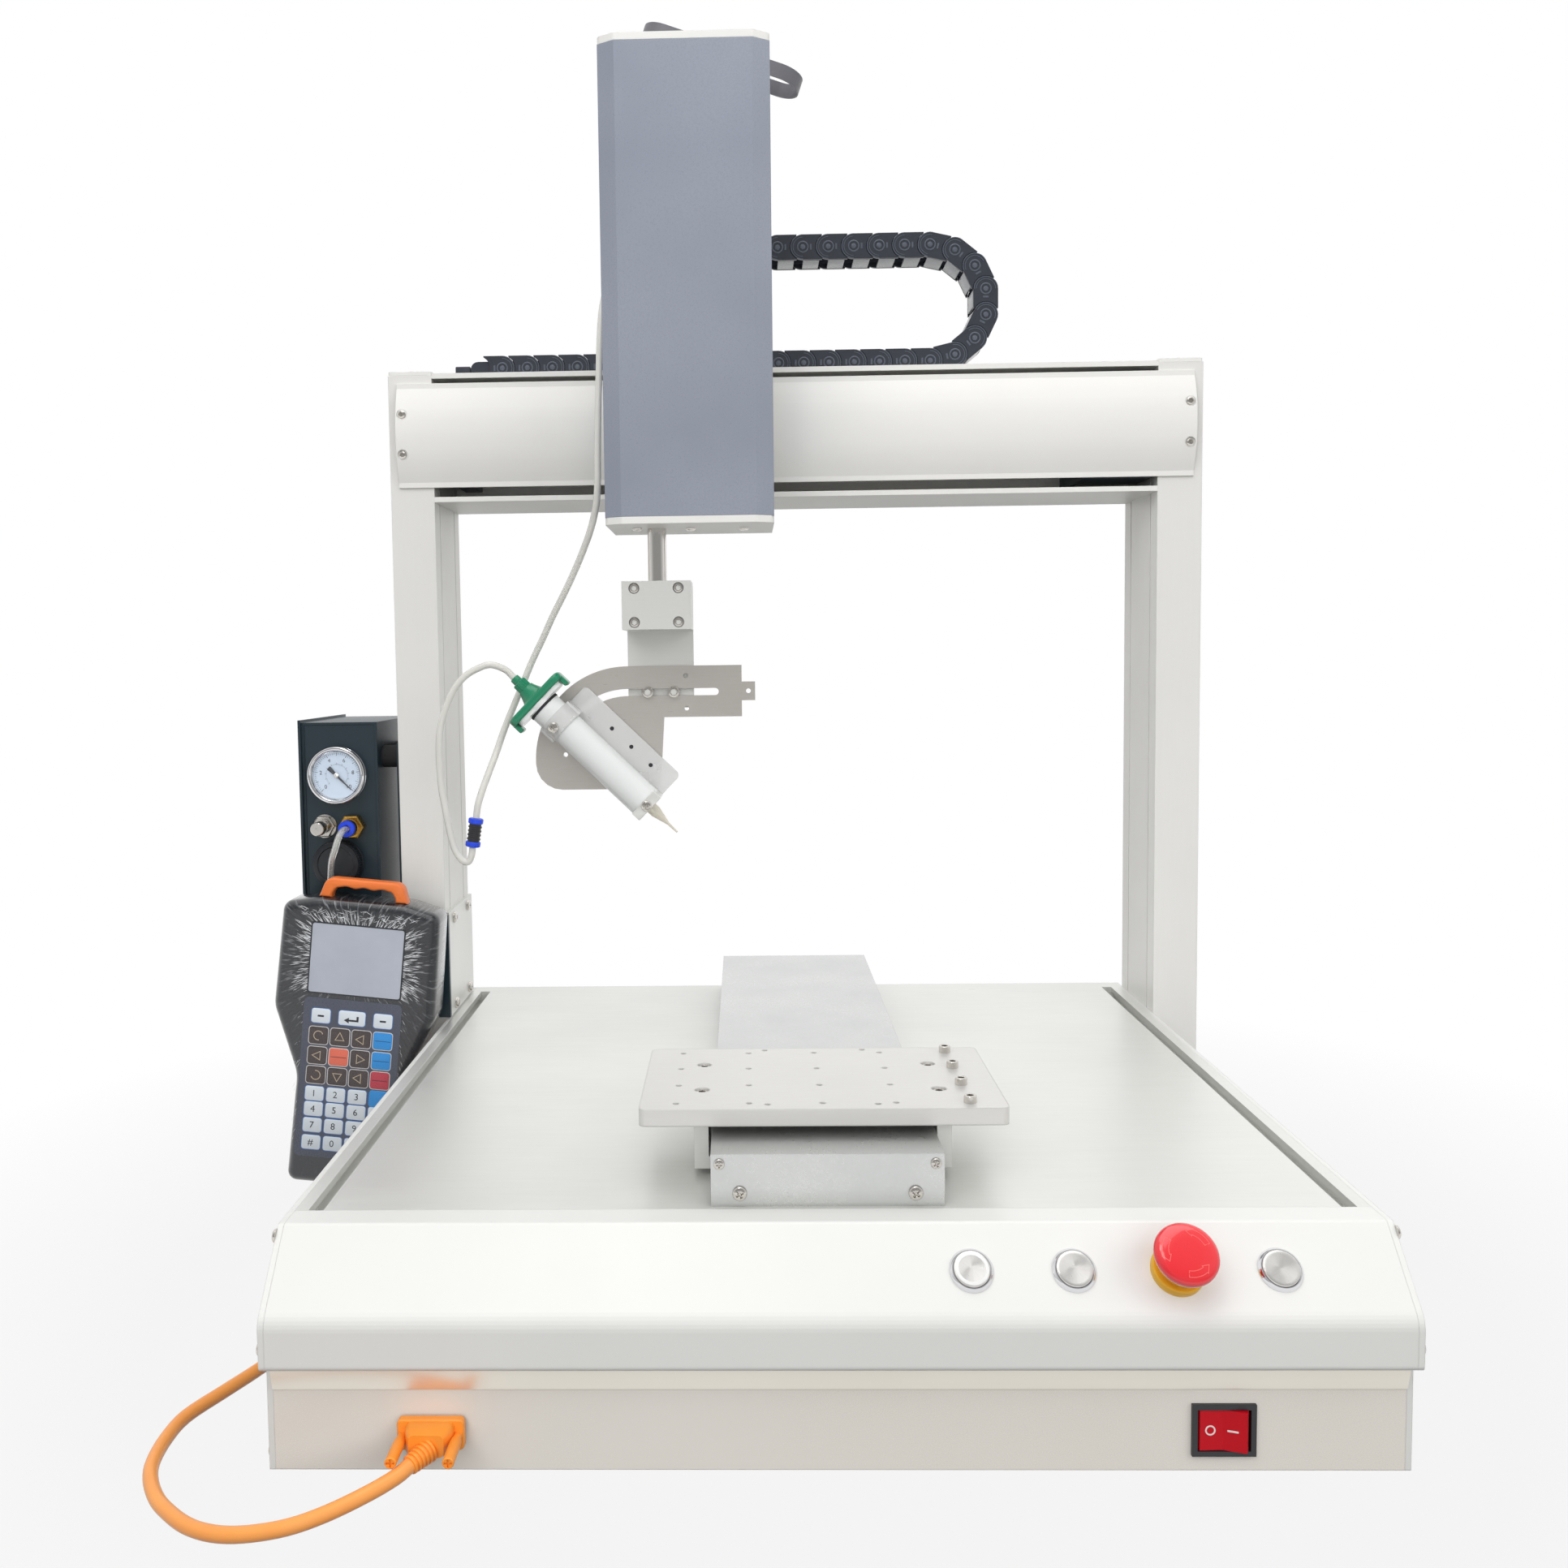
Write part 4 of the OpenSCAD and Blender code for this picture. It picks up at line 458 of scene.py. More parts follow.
def pathLength(path):
    return sum((b - a).length for a, b in zip(path, path[1:]))


def carryFrames(path):  # two directions across the line at each point, without twist
    heading = [(path[min(i + 1, len(path) - 1)] - path[max(i - 1, 0)]).normalized() for i in range(len(path))]
    side = Vector((0, 0, 1)) if abs(heading[0].z) < 0.8 else Vector((0, 1, 0))
    frames = []
    for ahead in heading:
        side = (side - ahead * side.dot(ahead)).normalized()
        frames.append((side, ahead.cross(side)))
    return frames


def sweep(bm, path, radii, sides=16, hollow=0.0):  # round line, with a bore where hollow is set
    frames = carryFrames(path)

    def rings(share):
        return [[bm.verts.new(p + (side * math.cos(t) + across * math.sin(t)) * r * share)
                 for t in circle(sides)] for p, r, (side, across) in zip(path, radii, frames)]

    outer = rings(1.0)
    if hollow:
        skin(bm, outer + rings(hollow)[::-1], ring=True)
    else:
        skin(bm, outer)


# Geometry Nodes tree that sets one shape on every point of a holder mesh


def makeRepeatTree():
    tree = bpy.data.node_groups.new("repeatShape", "GeometryNodeTree")
    face = tree.interface
    face.new_socket("Points", in_out="INPUT", socket_type="NodeSocketGeometry")
    shapeSocket = face.new_socket("Shape", in_out="INPUT", socket_type="NodeSocketObject")
    finishSocket = face.new_socket("Finish", in_out="INPUT", socket_type="NodeSocketMaterial")
    face.new_socket("Pieces", in_out="OUTPUT", socket_type="NodeSocketGeometry")
    start = addNode(tree, "NodeGroupInput").outputs
    turn, share = (addNode(tree, "GeometryNodeInputNamedAttribute", {"Name": name},
                           data_type=kind).outputs["Attribute"] for name, kind in (("turn", "FLOAT_VECTOR"),
            ("share", "FLOAT")))
    spin = addNode(tree, "FunctionNodeEulerToRotation", {"Euler": turn}).outputs["Rotation"]
    shape = addNode(tree, "GeometryNodeObjectInfo", {"Object": start["Shape"]}, transform_space="ORIGINAL")
    copies = addNode(tree, "GeometryNodeInstanceOnPoints", {
        "Points": start["Points"], "Instance": shape.outputs["Geometry"], "Rotation": spin, "Scale": share})
    real = addNode(tree, "GeometryNodeRealizeInstances", {"Geometry": copies.outputs["Instances"]})
    paint = addNode(tree, "GeometryNodeSetMaterial", {
        "Geometry": real.outputs["Geometry"], "Material": start["Finish"]})
    addNode(tree, "NodeGroupOutput", {"Pieces": paint.outputs["Geometry"]})
    return tree, shapeSocket.identifier, finishSocket.identifier


repeatTree, shapeInput, finishInput = makeRepeatTree()


def repeatShape(name, shapeMesh, places, finish):  # places of (point, rotation, share)
    shape = addObject(name + "Shape", shapeMesh)
    points = bpy.data.meshes.new(name + "Points")
    points.from_pydata([tuple(p) for p, turn, share in places], [], [])
    turns = points.attributes.new("turn", "FLOAT_VECTOR", "POINT")
    turns.data.foreach_set("vector", [c for p, turn, share in places for c in turn.to_euler()])
    shares = points.attributes.new("share", "FLOAT", "POINT")
    shares.data.foreach_set("value", [share for p, turn, share in places])
    holder = addObject(name + "Holder", points)
    modifier = holder.modifiers.new("repeat", "NODES")
    modifier.node_group = repeatTree
    modifier[shapeInput] = shape
    modifier[finishInput] = finish
    mesh = bakeMesh(holder)
    mesh.name = name
    bpy.data.objects.remove(shape)
    shadeMesh(mesh)
    for extra in ("turn", "share"):
        if extra in mesh.attributes:
            mesh.attributes.remove(mesh.attributes[extra])
    return mesh


def facing(direction, spin=0.0):  # rotation that turns +Z to a direction
    return (Vector((0, 0, 1)).rotation_difference(Vector(direction)) @ Matrix.Rotation(spin, 3,
            "Z").to_quaternion())


# Cords: routes as in the part's source, in millimetres

pendantCable = {
    "diameter": 7.5,
    "route": [(-349.83, 163, 36.64), (-349.83, 174, 36.64), (-349, 188, 33), (-343, 203, 22), (-330, 214, 12),
              (-314, 212, 6), (-302, 200, 4), (-296, 184, 4), (-293, 165, 4), (-292, 145, 4), (-292, 120, 4),
              (-292, 95, 4), (-293, 70, 4), (-294, 45, 4), (-296, 20, 4), (-298, -5, 4), (-300, -30, 4),
              (-303, -55, 4), (-306, -80, 4), (-310, -105, 4), (-316, -130, 4), (-325, -154, 4),
              (-335, -176, 4),
              (-346, -201, 4), (-348, -222, 4), (-346, -243, 4), (-341, -258, 4), (-332, -273, 4),
              (-322, -284, 4), (-307, -297, 5), (-291, -306, 7), (-274, -311, 10), (-254, -312, 14),
              (-237, -308, 18), (-220, -300, 22.5), (-209, -291, 25), (-204, -284, 26.5)],
}
airTubes = {
    "diameter": 5.0,
    "bore": 0.56,  # share of the diameter
    "supply": [(-58, 215, 732.2), (-85, 213, 730), (-98, 207, 728), (-110, 199, 724), (-122, 189, 718),
               (-132, 178, 710), (-139, 167, 699), (-143, 156, 686), (-144.5, 146, 672), (-145, 137, 656),
               (-145, 129, 640), (-145, 122, 623), (-145, 115, 605), (-145, 109, 588), (-145, 104, 571),
               (-145, 100, 554), (-145, 97, 538), (-146.1, 96, 522.1), (-150.3, 98, 505.3),
               (-156.8, 102, 489.6), (-164.5, 107, 473.8), (-173.2, 112, 457.8), (-182.5, 117, 441.7),
               (-190.8, 121, 425.4), (-199.4, 123.5, 409), (-206.7, 124.5, 392.6), (-213.8, 124, 376.1),
               (-220.5, 119, 358.8), (-225.8, 112, 341.6), (-230.6, 104, 326.5), (-234.8, 98, 313.5),
               (-237.665, 95, 302.9), (-239, 95, 294)],
    "syringe": [(-242.3, 95, 272), (-243.19, 95, 266.066), (-245.8, 95, 261.2), (-250.3, 95, 262.5),
                (-255, 95, 269.5), (-257.8, 95, 279), (-260, 95, 290), (-262, 95, 302), (-264, 95, 314),
                (-265, 95, 327), (-265.5, 95, 340), (-265, 95, 353), (-263, 96, 366), (-259, 97, 378),
                (-253.5, 98, 389), (-246, 99, 398), (-237, 100, 403.5), (-227, 101, 406.5),
                (-216.46, 103, 402.80), (-210.01, 103, 396.53)],
    "outlet": [(-351.5, 147, 280), (-351.5, 139, 280), (-352.5, 131, 276), (-354.5, 128, 268),
               (-358, 130, 259), (-361.5, 138, 251), (-364.5, 146, 243), (-367, 151.6, 233),
               (-368.5, 153.5, 222), (-369, 155, 211), (-369, 157, 196), (-369, 159, 182), (-369, 159, 168),
               (-369, 159, 154), (-369, 160, 140), (-368.5, 162, 126), (-367, 167, 113), (-362, 175, 102),
               (-354, 185, 94), (-344, 197, 87), (-332, 203.5, 81.5), (-323, 203.5, 81.5)],
}


def makeCord(name, route, diameter, finish, stands, hollow=0.0, steps=4, sides=16):
    path = smoothPath([mm(*p) for p in route], steps)
    bm = bmesh.new()
    sweep(bm, path, [diameter / 2000] * len(path), sides, hollow)
    piece = addObject(name, closeMesh(name, bm, finishes[finish], 60))
    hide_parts(stands)
    return piece, path


cablePiece, cablePath = makeCord("pendantCable", pendantCable["route"], pendantCable["diameter"],
                                 "cableOrange", "pendant_cable", sides=20)
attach(cablePiece, "frame")
supplyPiece, supplyPath = makeCord("supplyTube", airTubes["supply"], airTubes["diameter"], "milkTube",
                                   "supply_tube", airTubes["bore"])
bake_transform(supplyPiece)
syringePiece, syringePath = makeCord("syringeTube", airTubes["syringe"], airTubes["diameter"], "milkTube",
                                     "syringe_tube", airTubes["bore"])
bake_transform(syringePiece)
outletPiece, outletPath = makeCord("outletTube", airTubes["outlet"], airTubes["diameter"], "clearTube",
                                   "outlet_tube", airTubes["bore"])
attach(outletPiece, "frame")

# What is on the ends of the cords

cablePlug = {
    "place": (-198, -262, 31),
    "flange": (16.5, 7.8, 4.0),
    "hood": [(11.8, 6.9, 3.8), (11.8, 6.9, 6.0), (10.8, 6.5, 10.0), (8.6, 5.6, 14.0)],  # half sizes, way out
    "thumbscrew": {"offset": 13.7, "radius": 2.9, "end": 28.0},
    "boot": {"end": (-204, -284, 26.5), "aim": (5, 7, 1.5), "length": 13.0, "ribs": 6, "radii": (4.7, 6.0)},
}


def crossEnd(bm, radius, deep, place):  # four pads that leave a cross between them
    gap = radius * 0.22
    start = math.asin(gap / radius)
    pad = [(gap, gap)] + [polar(radius, a) for a in arcTurns(start, math.pi / 2 - 2 * start, 5)]
    for k in range(4):
        prism(bm, pad, -deep, 0, place @ turned("Z", 90 * k))


def makePlug(size):
    bm = bmesh.new()
    place = spot(*size["place"], frontTurn)
    w, h, t = size["flange"]
    prism(bm, roundRect(-w, -h, w, h, 2.4), 0, t, place, 0.7)
    loft(bm, [(roundRect(-a, -b, a, b, 2.6, 3), z) for a, b, z in size["hood"]], place)
    screw = size["thumbscrew"]
    r, end = screw["radius"], screw["end"]
    for s in (-1, 1):
        here = place @ moved(s * screw["offset"], 0, 0)
        lathe(bm, [(0, t - 0.5), (r * 0.72, t - 0.5), (r * 0.72, t + 2.5), (r * 0.92, t + 5), (r, t + 9),
                   (r, end - 0.5), (r - 0.4, end), (r - 0.8, end), (r - 0.8, end - 1.3), (0, end - 1.3)],
                   here, 24)
        crossEnd(bm, r - 0.75, 1.25, here @ moved(0, 0, end - 0.15))
    boot = size["boot"]
    here = spot(*boot["end"], facing(Vector(boot["aim"]).normalized()).to_matrix().to_4x4())
    step = boot["length"] / boot["ribs"]
    profile = [(0, 0)]
    for k in range(boot["ribs"]):
        r = boot["radii"][0] + (boot["radii"][1] - boot["radii"][0]) * k / (boot["ribs"] - 1)
        z = k * step
        profile += [(r - 0.9, z), (r - 0.15, z + 0.15), (r, z + 0.5), (r, z + step - 0.9),
                    (r - 0.9, z + step - 0.5)]
    lathe(bm, profile + [(0, boot["length"])], here, 28)
    return shapePiece("cablePlug", bm, "plugOrange", "frame", ["cable_plug"])


tubeJoint = {"low": (-242.3, 95, 272), "aim": (3.3, 0, 22), "length": 22.25, "gap": 0.4, "collar": 4.0,
             "radius": 5.5, "core": 4.4}


def makeJoint(size):
    here = spot(*size["low"], facing(Vector(size["aim"]).normalized()).to_matrix().to_4x4())
    z0, z1, h, r = size["gap"], size["length"] - size["gap"], size["collar"], size["radius"]
    bm = bmesh.new()
    profile = [(0, z0 + h - 0.5), (size["core"], z0 + h - 0.5)]
    z = z0 + h + 1.2
    while z < z1 - h - 1.5:
        profile += [(size["core"], z), (r - 0.6, z + 0.25), (r - 0.5, z + 0.8), (r - 0.6, z + 1.35),
                    (size["core"], z + 1.6)]
        z += 3.0
    profile += [(size["core"], z1 - h + 0.5), (0, z1 - h + 0.5)]
    lathe(bm, profile, here, 28)
    body = shapePiece("jointBody", bm, "blackPlastic", "z_slide", ["tube_connector"])
    bm = bmesh.new()
    for low, s in ((z0, 1), (z1, -1)):
        steps = [(2.7, 0), (r - 1.0, 0), (r - 0.2, 0.4), (r, 1.0), (r, h - 0.5), (r - 0.4, h), (2.7, h)]
        lathe(bm, [(radius, low + s * z) for radius, z in steps], here, 28)
    collars = shapePiece("jointCollars", bm, "bluePlastic", "z_slide")
    return [body, collars]


plugPiece = makePlug(cablePlug)
jointPieces = makeJoint(tubeJoint)
for piece, path, size, end, bend, lay, extra in (
        (cablePiece, cablePath, pendantCable["diameter"], "plug", "limp", "loose", [plugPiece]),
        (supplyPiece, supplyPath, airTubes["diameter"], "connector", "medium", "hanging", jointPieces),
        (syringePiece, syringePath, airTubes["diameter"], "object", "limp", "hanging", []),
        (outletPiece, outletPath, airTubes["diameter"], "object", "limp", "hanging", [])):
    print("cord", piece.name, round(pathLength(path), 3), "m")


# Floor, light and background

studio = {
    "floorRadius": 3.2,
    "paper": ((0.86, 0.86, 0.85, 1), (0.84, 0.84, 0.83, 1)),
    "fade": (0.9, 1.0, 0.42, 0.8),  # glow of the floor near and far, and where it changes
    "ambient": 0.45,
    "roomDark": 0.34,  # what polished metal sees behind the camera
    "lamps": [  # name, place, aim, size, watts, seen in polished metal
        ("keyLamp", (-1.1, -1.7, 1.9), (0, -0.05, 0.3), 1.5, 18.5, False),
        ("fillLamp", (1.6, -1.3, 1.3), (0, 0, 0.3), 1.4, 13, False),
        ("frontLamp", (0.1, -2.4, 0.55), (0, 0, 0.3), 2.0, 21, False),
        ("glintLamp", (-0.35, -0.75, 1.75), (0.1, -0.2, 0.1), 0.3, 1.1, True),
        ("windowLamp", (-0.2, -0.95, 1.45), (0.1, -0.2, 0.1), 0.22, 0.7, True),
        ("topLamp", (0.1, 0.1, 2.3), (0, 0, 0.2), 1.8, 13.5, True),
        ("backLamp", (0.7, 1.9, 1.6), (0, 0.1, 0.4), 1.6, 14, False),
    ],
}


def anyRay(tree):  # 1 for camera, glossy and transmission rays
    light = addNode(tree, "ShaderNodeLightPath").outputs
    seen = addMath(tree, "MAXIMUM", light["Is Camera Ray"], light["Is Glossy Ray"])
    return addMath(tree, "MAXIMUM", seen, light["Is Transmission Ray"])


def makeStudio(look):
    world = bpy.data.worlds.new("studioWorld")
    scene.world = world
    world.use_nodes = True
    tree = world.node_tree
    light = addNode(tree, "ShaderNodeLightPath").outputs
    way = addNode(tree, "ShaderNodeTexCoord").outputs["Generated"]
    ahead = addNode(tree, "ShaderNodeSeparateXYZ", {"Vector": way}).outputs["Y"]
    room = addRange(tree, ahead, look["roomDark"], 1.0, -0.75, 0.15)
    shiny = addRange(tree, light["Is Glossy Ray"], look["ambient"], room, 0.0, 1.0)
    clear = addMath(tree, "MAXIMUM", light["Is Camera Ray"], light["Is Transmission Ray"])
    feedNode(tree, tree.nodes["Background"], {
        "Color": (1, 1, 1, 1), "Strength": addRange(tree, clear, shiny, 1.0, 0.0, 1.0)})

    bm = bmesh.new()
    lathe(bm, [(0, 0), (look["floorRadius"], 0)], sides=96)
    floor = addObject("studioFloor", closeMesh("studioFloor", bm))
    tree, shader = startFinish("floorPaper")
    place = objectPlace(tree)
    paper = addMix(tree, addNoise(tree, place, 40), *look["paper"])
    feedNode(tree, shader, {"Base Color": paper, "Roughness": 0.8, "Specular IOR Level": 0.2})
    glow = addNode(tree, "ShaderNodeEmission", {"Strength": 1.0})
    fade = addRange(tree, addLength(tree, place), *look["fade"])
    mix = addNode(tree, "ShaderNodeMixShader", {
        "Fac": addMath(tree, "MULTIPLY", fade, anyRay(tree)),
        1: shader.outputs["BSDF"], 2: glow.outputs["Emission"]})
    feedNode(tree, tree.nodes["Material Output"], {"Surface": mix.outputs["Shader"]})
    floor.data.materials.append(finishes["floorPaper"])

    for name, place, aim, size, watts, mirrored in look["lamps"]:
        lamp = bpy.data.lights.new(name, "AREA")
        lamp.energy, lamp.size = watts, size
        holder = addObject(name, lamp)
        holder.location = place
        holder.visible_glossy = mirrored
        holder.rotation_euler = (Vector(aim) - Vector(place)).to_track_quat("-Z", "Y").to_euler()


makeStudio(studio)
print("studio made")


# Finishes of the CAD nodes that show as they are

nodeFinishes = {
    "creamPaint": "base_pan", "whitePaint": "side_panels front_console", "deckAluminium": "deck_plate",
    "blackRubber": "rubber_feet", "columnAluminium": "columns", "zincSheet": "y_cover",
    "satinWhite": "column_caps x_beam beam_cover z_end_plates", "circuitGreen": "electronics",
    "brightSteel": "guide_rails r_shaft x_screw y_screw z_screw", "blackPlastic": "panel_sockets",
    "blackPaint": "axis_motors controller_case controller_panel column_bracket", "housingPaint": "z_housing",
    "plainAluminium": "clamp_plate x_carriage z_slide clamp_block drop_plate y_carriage",
    "cableGrey": "z_motor", "arcSteel": "arc_bracket", "frostedPlastic": "syringe_barrel",
    "needleSteel": "needle", "plateAluminium": "work_plate", "rockerRed": "rocker",
}
for finishName, nodeNames in nodeFinishes.items():
    for nodeName in nodeNames.split():
        slots = cadNodes[nodeName].data.materials
        slots.clear()
        slots.append(finishes[finishName])
print("node finishes:", len(nodeFinishes))


# Energy chain: links on their pins in an upper run, a bend and a lower run

energyChain = {
    "pitch": 20.0, "height": 19.5, "width": 30.0, "wall": 2.6, "gap": 0.3, "tongue": 5.85,
    "start": (-50.0, 732.18), "y": 215.0, "upper": 8, "bend": 7, "lower": 18,
    "pin": 2.6, "boss": 4.6, "bar": 2.0, "anchor": (12, 13, 632.5, 644.5),
    "shares": (0.55, 0.78),  # of the head's travel, at the foot and the top of the bend
}


def chainLinkMesh(size):
    bm = bmesh.new()
    pitch, r, w, t, gap = size["pitch"], size["height"] / 2, size["width"] / 2, size["wall"], size["gap"]
    edge = pitch - r / 2
    hollow = r + gap
    side = math.sqrt(hollow ** 2 - (pitch - edge) ** 2)
    start = math.atan2(side, edge - pitch)
    outline = [polar(r, a) for a in arcTurns(math.pi / 2, math.pi, 14)] + [(edge, -r)]
    outline += [(pitch + hollow * math.cos(a), hollow * math.sin(a))
                for a in arcTurns(-start, 2 * start - 2 * math.pi, 10)] + [(edge, r)]
    inside = w - 2 * t - gap
    tongue = [(pitch + size["tongue"] * math.cos(a), size["tongue"] * math.sin(a)) for a in
              arcTurns(-math.pi / 2, math.pi, 8)]
    joggle = size["tongue"] + 2 * gap
    tongue += [(joggle, size["tongue"]), (joggle, -size["tongue"])]
    for s in (-1, 1):
        plate = milli @ Matrix.Diagonal((1, s, 1, 1)) @ swapYZ
        prism(bm, outline, w - t, w, plate, 0.25)
        prism(bm, tongue, inside, inside + t, plate)
        slab = [(joggle, -size["tongue"]), (pitch - r - gap, -size["tongue"]),
                (pitch - r - gap, size["tongue"]), (joggle, size["tongue"])]
        prism(bm, slab, inside, w - 0.2, plate)
    return closeMesh("chainLink", bm)


def chainTrimMesh(size):  # raised rim, ring and pin head of a link's two plates, painted paler than the links as highlights
    bm = bmesh.new()
    w, r, boss, pin = size["width"] / 2, size["height"] / 2, size["boss"], size["pin"]
    arch = arcTurns(math.pi / 2, math.pi, 14)
    for s in (-1, 1):
        mirror = milli @ Matrix.Diagonal((1, s, 1, 1))
        side = mirror @ moved(0, w, 0) @ Matrix.Rotation(-math.pi / 2, 4, "X")
        for outer, inner, high in ((r - 0.1, r - 0.75, 0.3), (r - 1.9, r - 2.4, 0.25)):
            rim = [polar(outer, a) for a in arch]
            prism(bm, rim + [polar(inner, a) for a in reversed(arch)], -0.3, high, side)
        lathe(bm, [(boss - 1.1, -0.3), (boss, -0.3), (boss, 0.2), (boss - 0.4, 0.45), (boss - 0.9, 0.45),
                   (boss - 1.1, 0.2)], side, 20, ring=True)
        lathe(bm, [(pin - 0.6, -0.3), (pin - 0.6, 0.3), (pin - 1.2, 0.55), (0, 0.5)], side, 14)
        block(bm, (5.6, w - 0.3, -2.2), (7.0, w + 0.25, 2.2), 0.0, mirror)
    return closeMesh("chainTrim", bm)


def chainBarMesh(size):  # cross bars over and under, with their snap ribs, in a pale colour that paints the floor's reflection
    bm = bmesh.new()
    r, w, t, bar = size["height"] / 2, size["width"] / 2, size["wall"], size["bar"]
    end = size["pitch"] - r / 2 - 2
    for low, lip in ((r - bar, r - bar - 1.1), (-r, -r + bar)):
        block(bm, mm(0.4, -w + t / 2, low), mm(end, w - t / 2, low + bar), 0.0003)
        block(bm, mm(4.2, -w + t + 4, lip), mm(7.4, w - t - 4, lip + 1.1))
    return closeMesh("chainBar", bm)


def chainPins(size):
    radius = size["pitch"] / 2 / math.sin(math.pi / 2 / size["bend"])
    x0, top = size["start"]
    bendX = x0 + size["upper"] * size["pitch"]
    pins = [(x0 + k * size["pitch"], top) for k in range(size["upper"] + 1)]
    for k in range(1, size["bend"] + 1):
        a = math.pi * k / size["bend"]
        pins.append((bendX + radius * math.sin(a), top - radius + radius * math.cos(a)))
    pins += [(bendX - k * size["pitch"], top - 2 * radius) for k in range(1, size["lower"] + 1)]
    return pins


def makeChain(size):
    pins = chainPins(size)
    places = []
    for (x, z), (x1, z1) in zip(pins, pins[1:]):
        turn = Matrix.Rotation(math.atan2(-(z1 - z), x1 - x), 3, "Y").to_quaternion()
        places.append((mm(x, size["y"], z), turn, 1.0))
    upper, bent = size["upper"], size["upper"] + size["bend"]
    foot, top = (0.5 - math.sin(math.asin(1 - 2 * share) / 3) for share in size["shares"])
    (x0, high), (x1, low), bendX, y = pins[0], pins[-1], pins[upper][0], size["y"]
    rise = (high - low) / (top - foot)
    runs = (("", places[:upper], mm(bendX + (bendX - x0) * top / (1 - top), y, high), mm(x0, y, high)),
            ("Bend", places[upper:bent], mm(bendX, y, low - rise * foot),
             mm(bendX, y, low + rise * (1 - foot))),
            ("Low", places[bent:], mm(x1, y, low), mm(x1 + (bendX - x1) / foot, y, low)))
    for name, shape, finish in (("energyChain", chainLinkMesh(size), "chainPlastic"),
                                ("chainTrim", chainTrimMesh(size), "chainRimHighlight"),
                                ("chainBars", chainBarMesh(size), "chainBar")):
        for part, links, start, end in runs:
            chain = addObject(name + part, repeatShape(name + part, shape, links, finishes[finish]))
            if name == "energyChain":
                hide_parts("energy_chain")
            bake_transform(chain)
    bm = bmesh.new()
    endX = pins[-1][0] - size["tongue"] - size["gap"]
    long, half, low, high = size["anchor"]
    block(bm, mm(endX - long, size["y"] - half, low), mm(endX, size["y"] + half, high), 0.0008)
    shapePiece("chainAnchor", bm, "chainPlastic", "frame")
    print("chain links:", len(places))


makeChain(energyChain)


# Round finishes: spun metal takes its direction from a UV map that follows the turning


def addSpun(name, first, second, rough, streak):
    tree, shader = startFinish(name)
    chart = addNode(tree, "ShaderNodeUVMap", uv_map="spin").outputs["UV"]
    # the light and dark sectors round the axis in the colour are a painted bow-tie reflection of the turned
    # finish
    fine = addNoise(tree, addMapping(tree, chart, Scale=(0.6, 9.0, 1.0)), 1.6, 4.0, 0.7)
    across = addNode(tree, "ShaderNodeTangent", direction_type="UV_MAP", uv_map="spin").outputs["Tangent"]
    feedNode(tree, shader, {
        "Base Color": addMix(tree, fine, tone(*first), tone(*second)),
        "Roughness": addRange(tree, fine, rough - 0.05, rough + 0.05),
        "Tangent": across, "Metallic": 1.0, "Anisotropic": streak})


def spinChart(mesh, place):  # U along the radius in millimetres, V round the axis
    back = place.inverted()
    chart = mesh.uv_layers.new(name="spin")
    for face in mesh.polygons:
        middle = back @ face.center
        around = math.atan2(middle.y, middle.x)
        for loop in face.loop_indices:
            point = back @ mesh.vertices[mesh.loops[loop].vertex_index].co
            radius = math.hypot(point.x, point.y)
            turn = math.atan2(point.y, point.x) - around if radius > 1e-6 else 0.0
            turn = (turn + math.pi) % (2 * math.pi) - math.pi
            chart.data[loop].uv = (radius * 0.1, (around + turn) / (2 * math.pi))


addSpun("spunSteel", (254, 253, 250), (228, 225, 221), 0.3, 0.85)
addFinish("dialWhite", (216, 226, 238), (206, 218, 232), 0.5, depth=0.00001)
addFinish("printBlack", (52, 54, 62), (40, 42, 50), 0.5, grain=2600, depth=0.00001)
addFinish("printWhite", (242, 232, 230), (232, 222, 220), 0.45, grain=2600, depth=0.00001)
addFinish("paleRed", (244, 108, 104), (238, 92, 90), 0.3, grain=2600, depth=0.00001)


slantedFace = {"middle": (-253.5, 107.5), "lean": 45}


def slope(x):
    return spot(x, *slantedFace["middle"], turned("X", slantedFace["lean"]))


# Push buttons and emergency stop on the console

pushButtons = {
    "places": {"start_button": 68.0, "pause_button": 118.0, "reset_button": 218.0},
    "bezel": [(9.05, -3.0), (9.05, 1.5), (9.3, 1.95), (9.7, 1.95), (10.1, 1.6), (10.8, 0.75), (11.0, 0.35),
              (11.0, 0.02), (9.6, 0.02), (9.6, -3.0)],
    "cap": [(0, 2.7), (2.2, 2.71), (5.0, 2.76), (7.2, 2.82), (8.2, 2.85), (8.65, 2.7), (8.9, 2.3),
            (8.9, -16.0), (0, -16.0)],
    # pale ring of the first
    "ring": [(6.4, 2.76), (6.6, 3.0), (8.0, 3.02), (8.35, 2.82), (8.35, 2.6), (6.4, 2.6)],
}


def makeButtons(size):
    bm = bmesh.new()
    for x in size["places"].values():
        lathe(bm, size["bezel"], slope(x), 64, ring=True)
    shapePiece("buttonBezels", bm, "chromeTrim", "frame", ["button_bezels"], sharp=24)
    for body, x in size["places"].items():
        name = body.split("_")[0] + "Cap"
        bm = bmesh.new()
        lathe(bm, size["cap"], slope(x), 64)
        mesh = closeMesh(name, bm, finishes["spunSteel"])
        spinChart(mesh, slope(x))
        addPiece(name, mesh, body, [body])
    turnedPiece("startRing", size["ring"], slope(size["places"]["start_button"]), 64, "whitePlastic",
                "start_button", ring=True)


makeButtons(pushButtons)

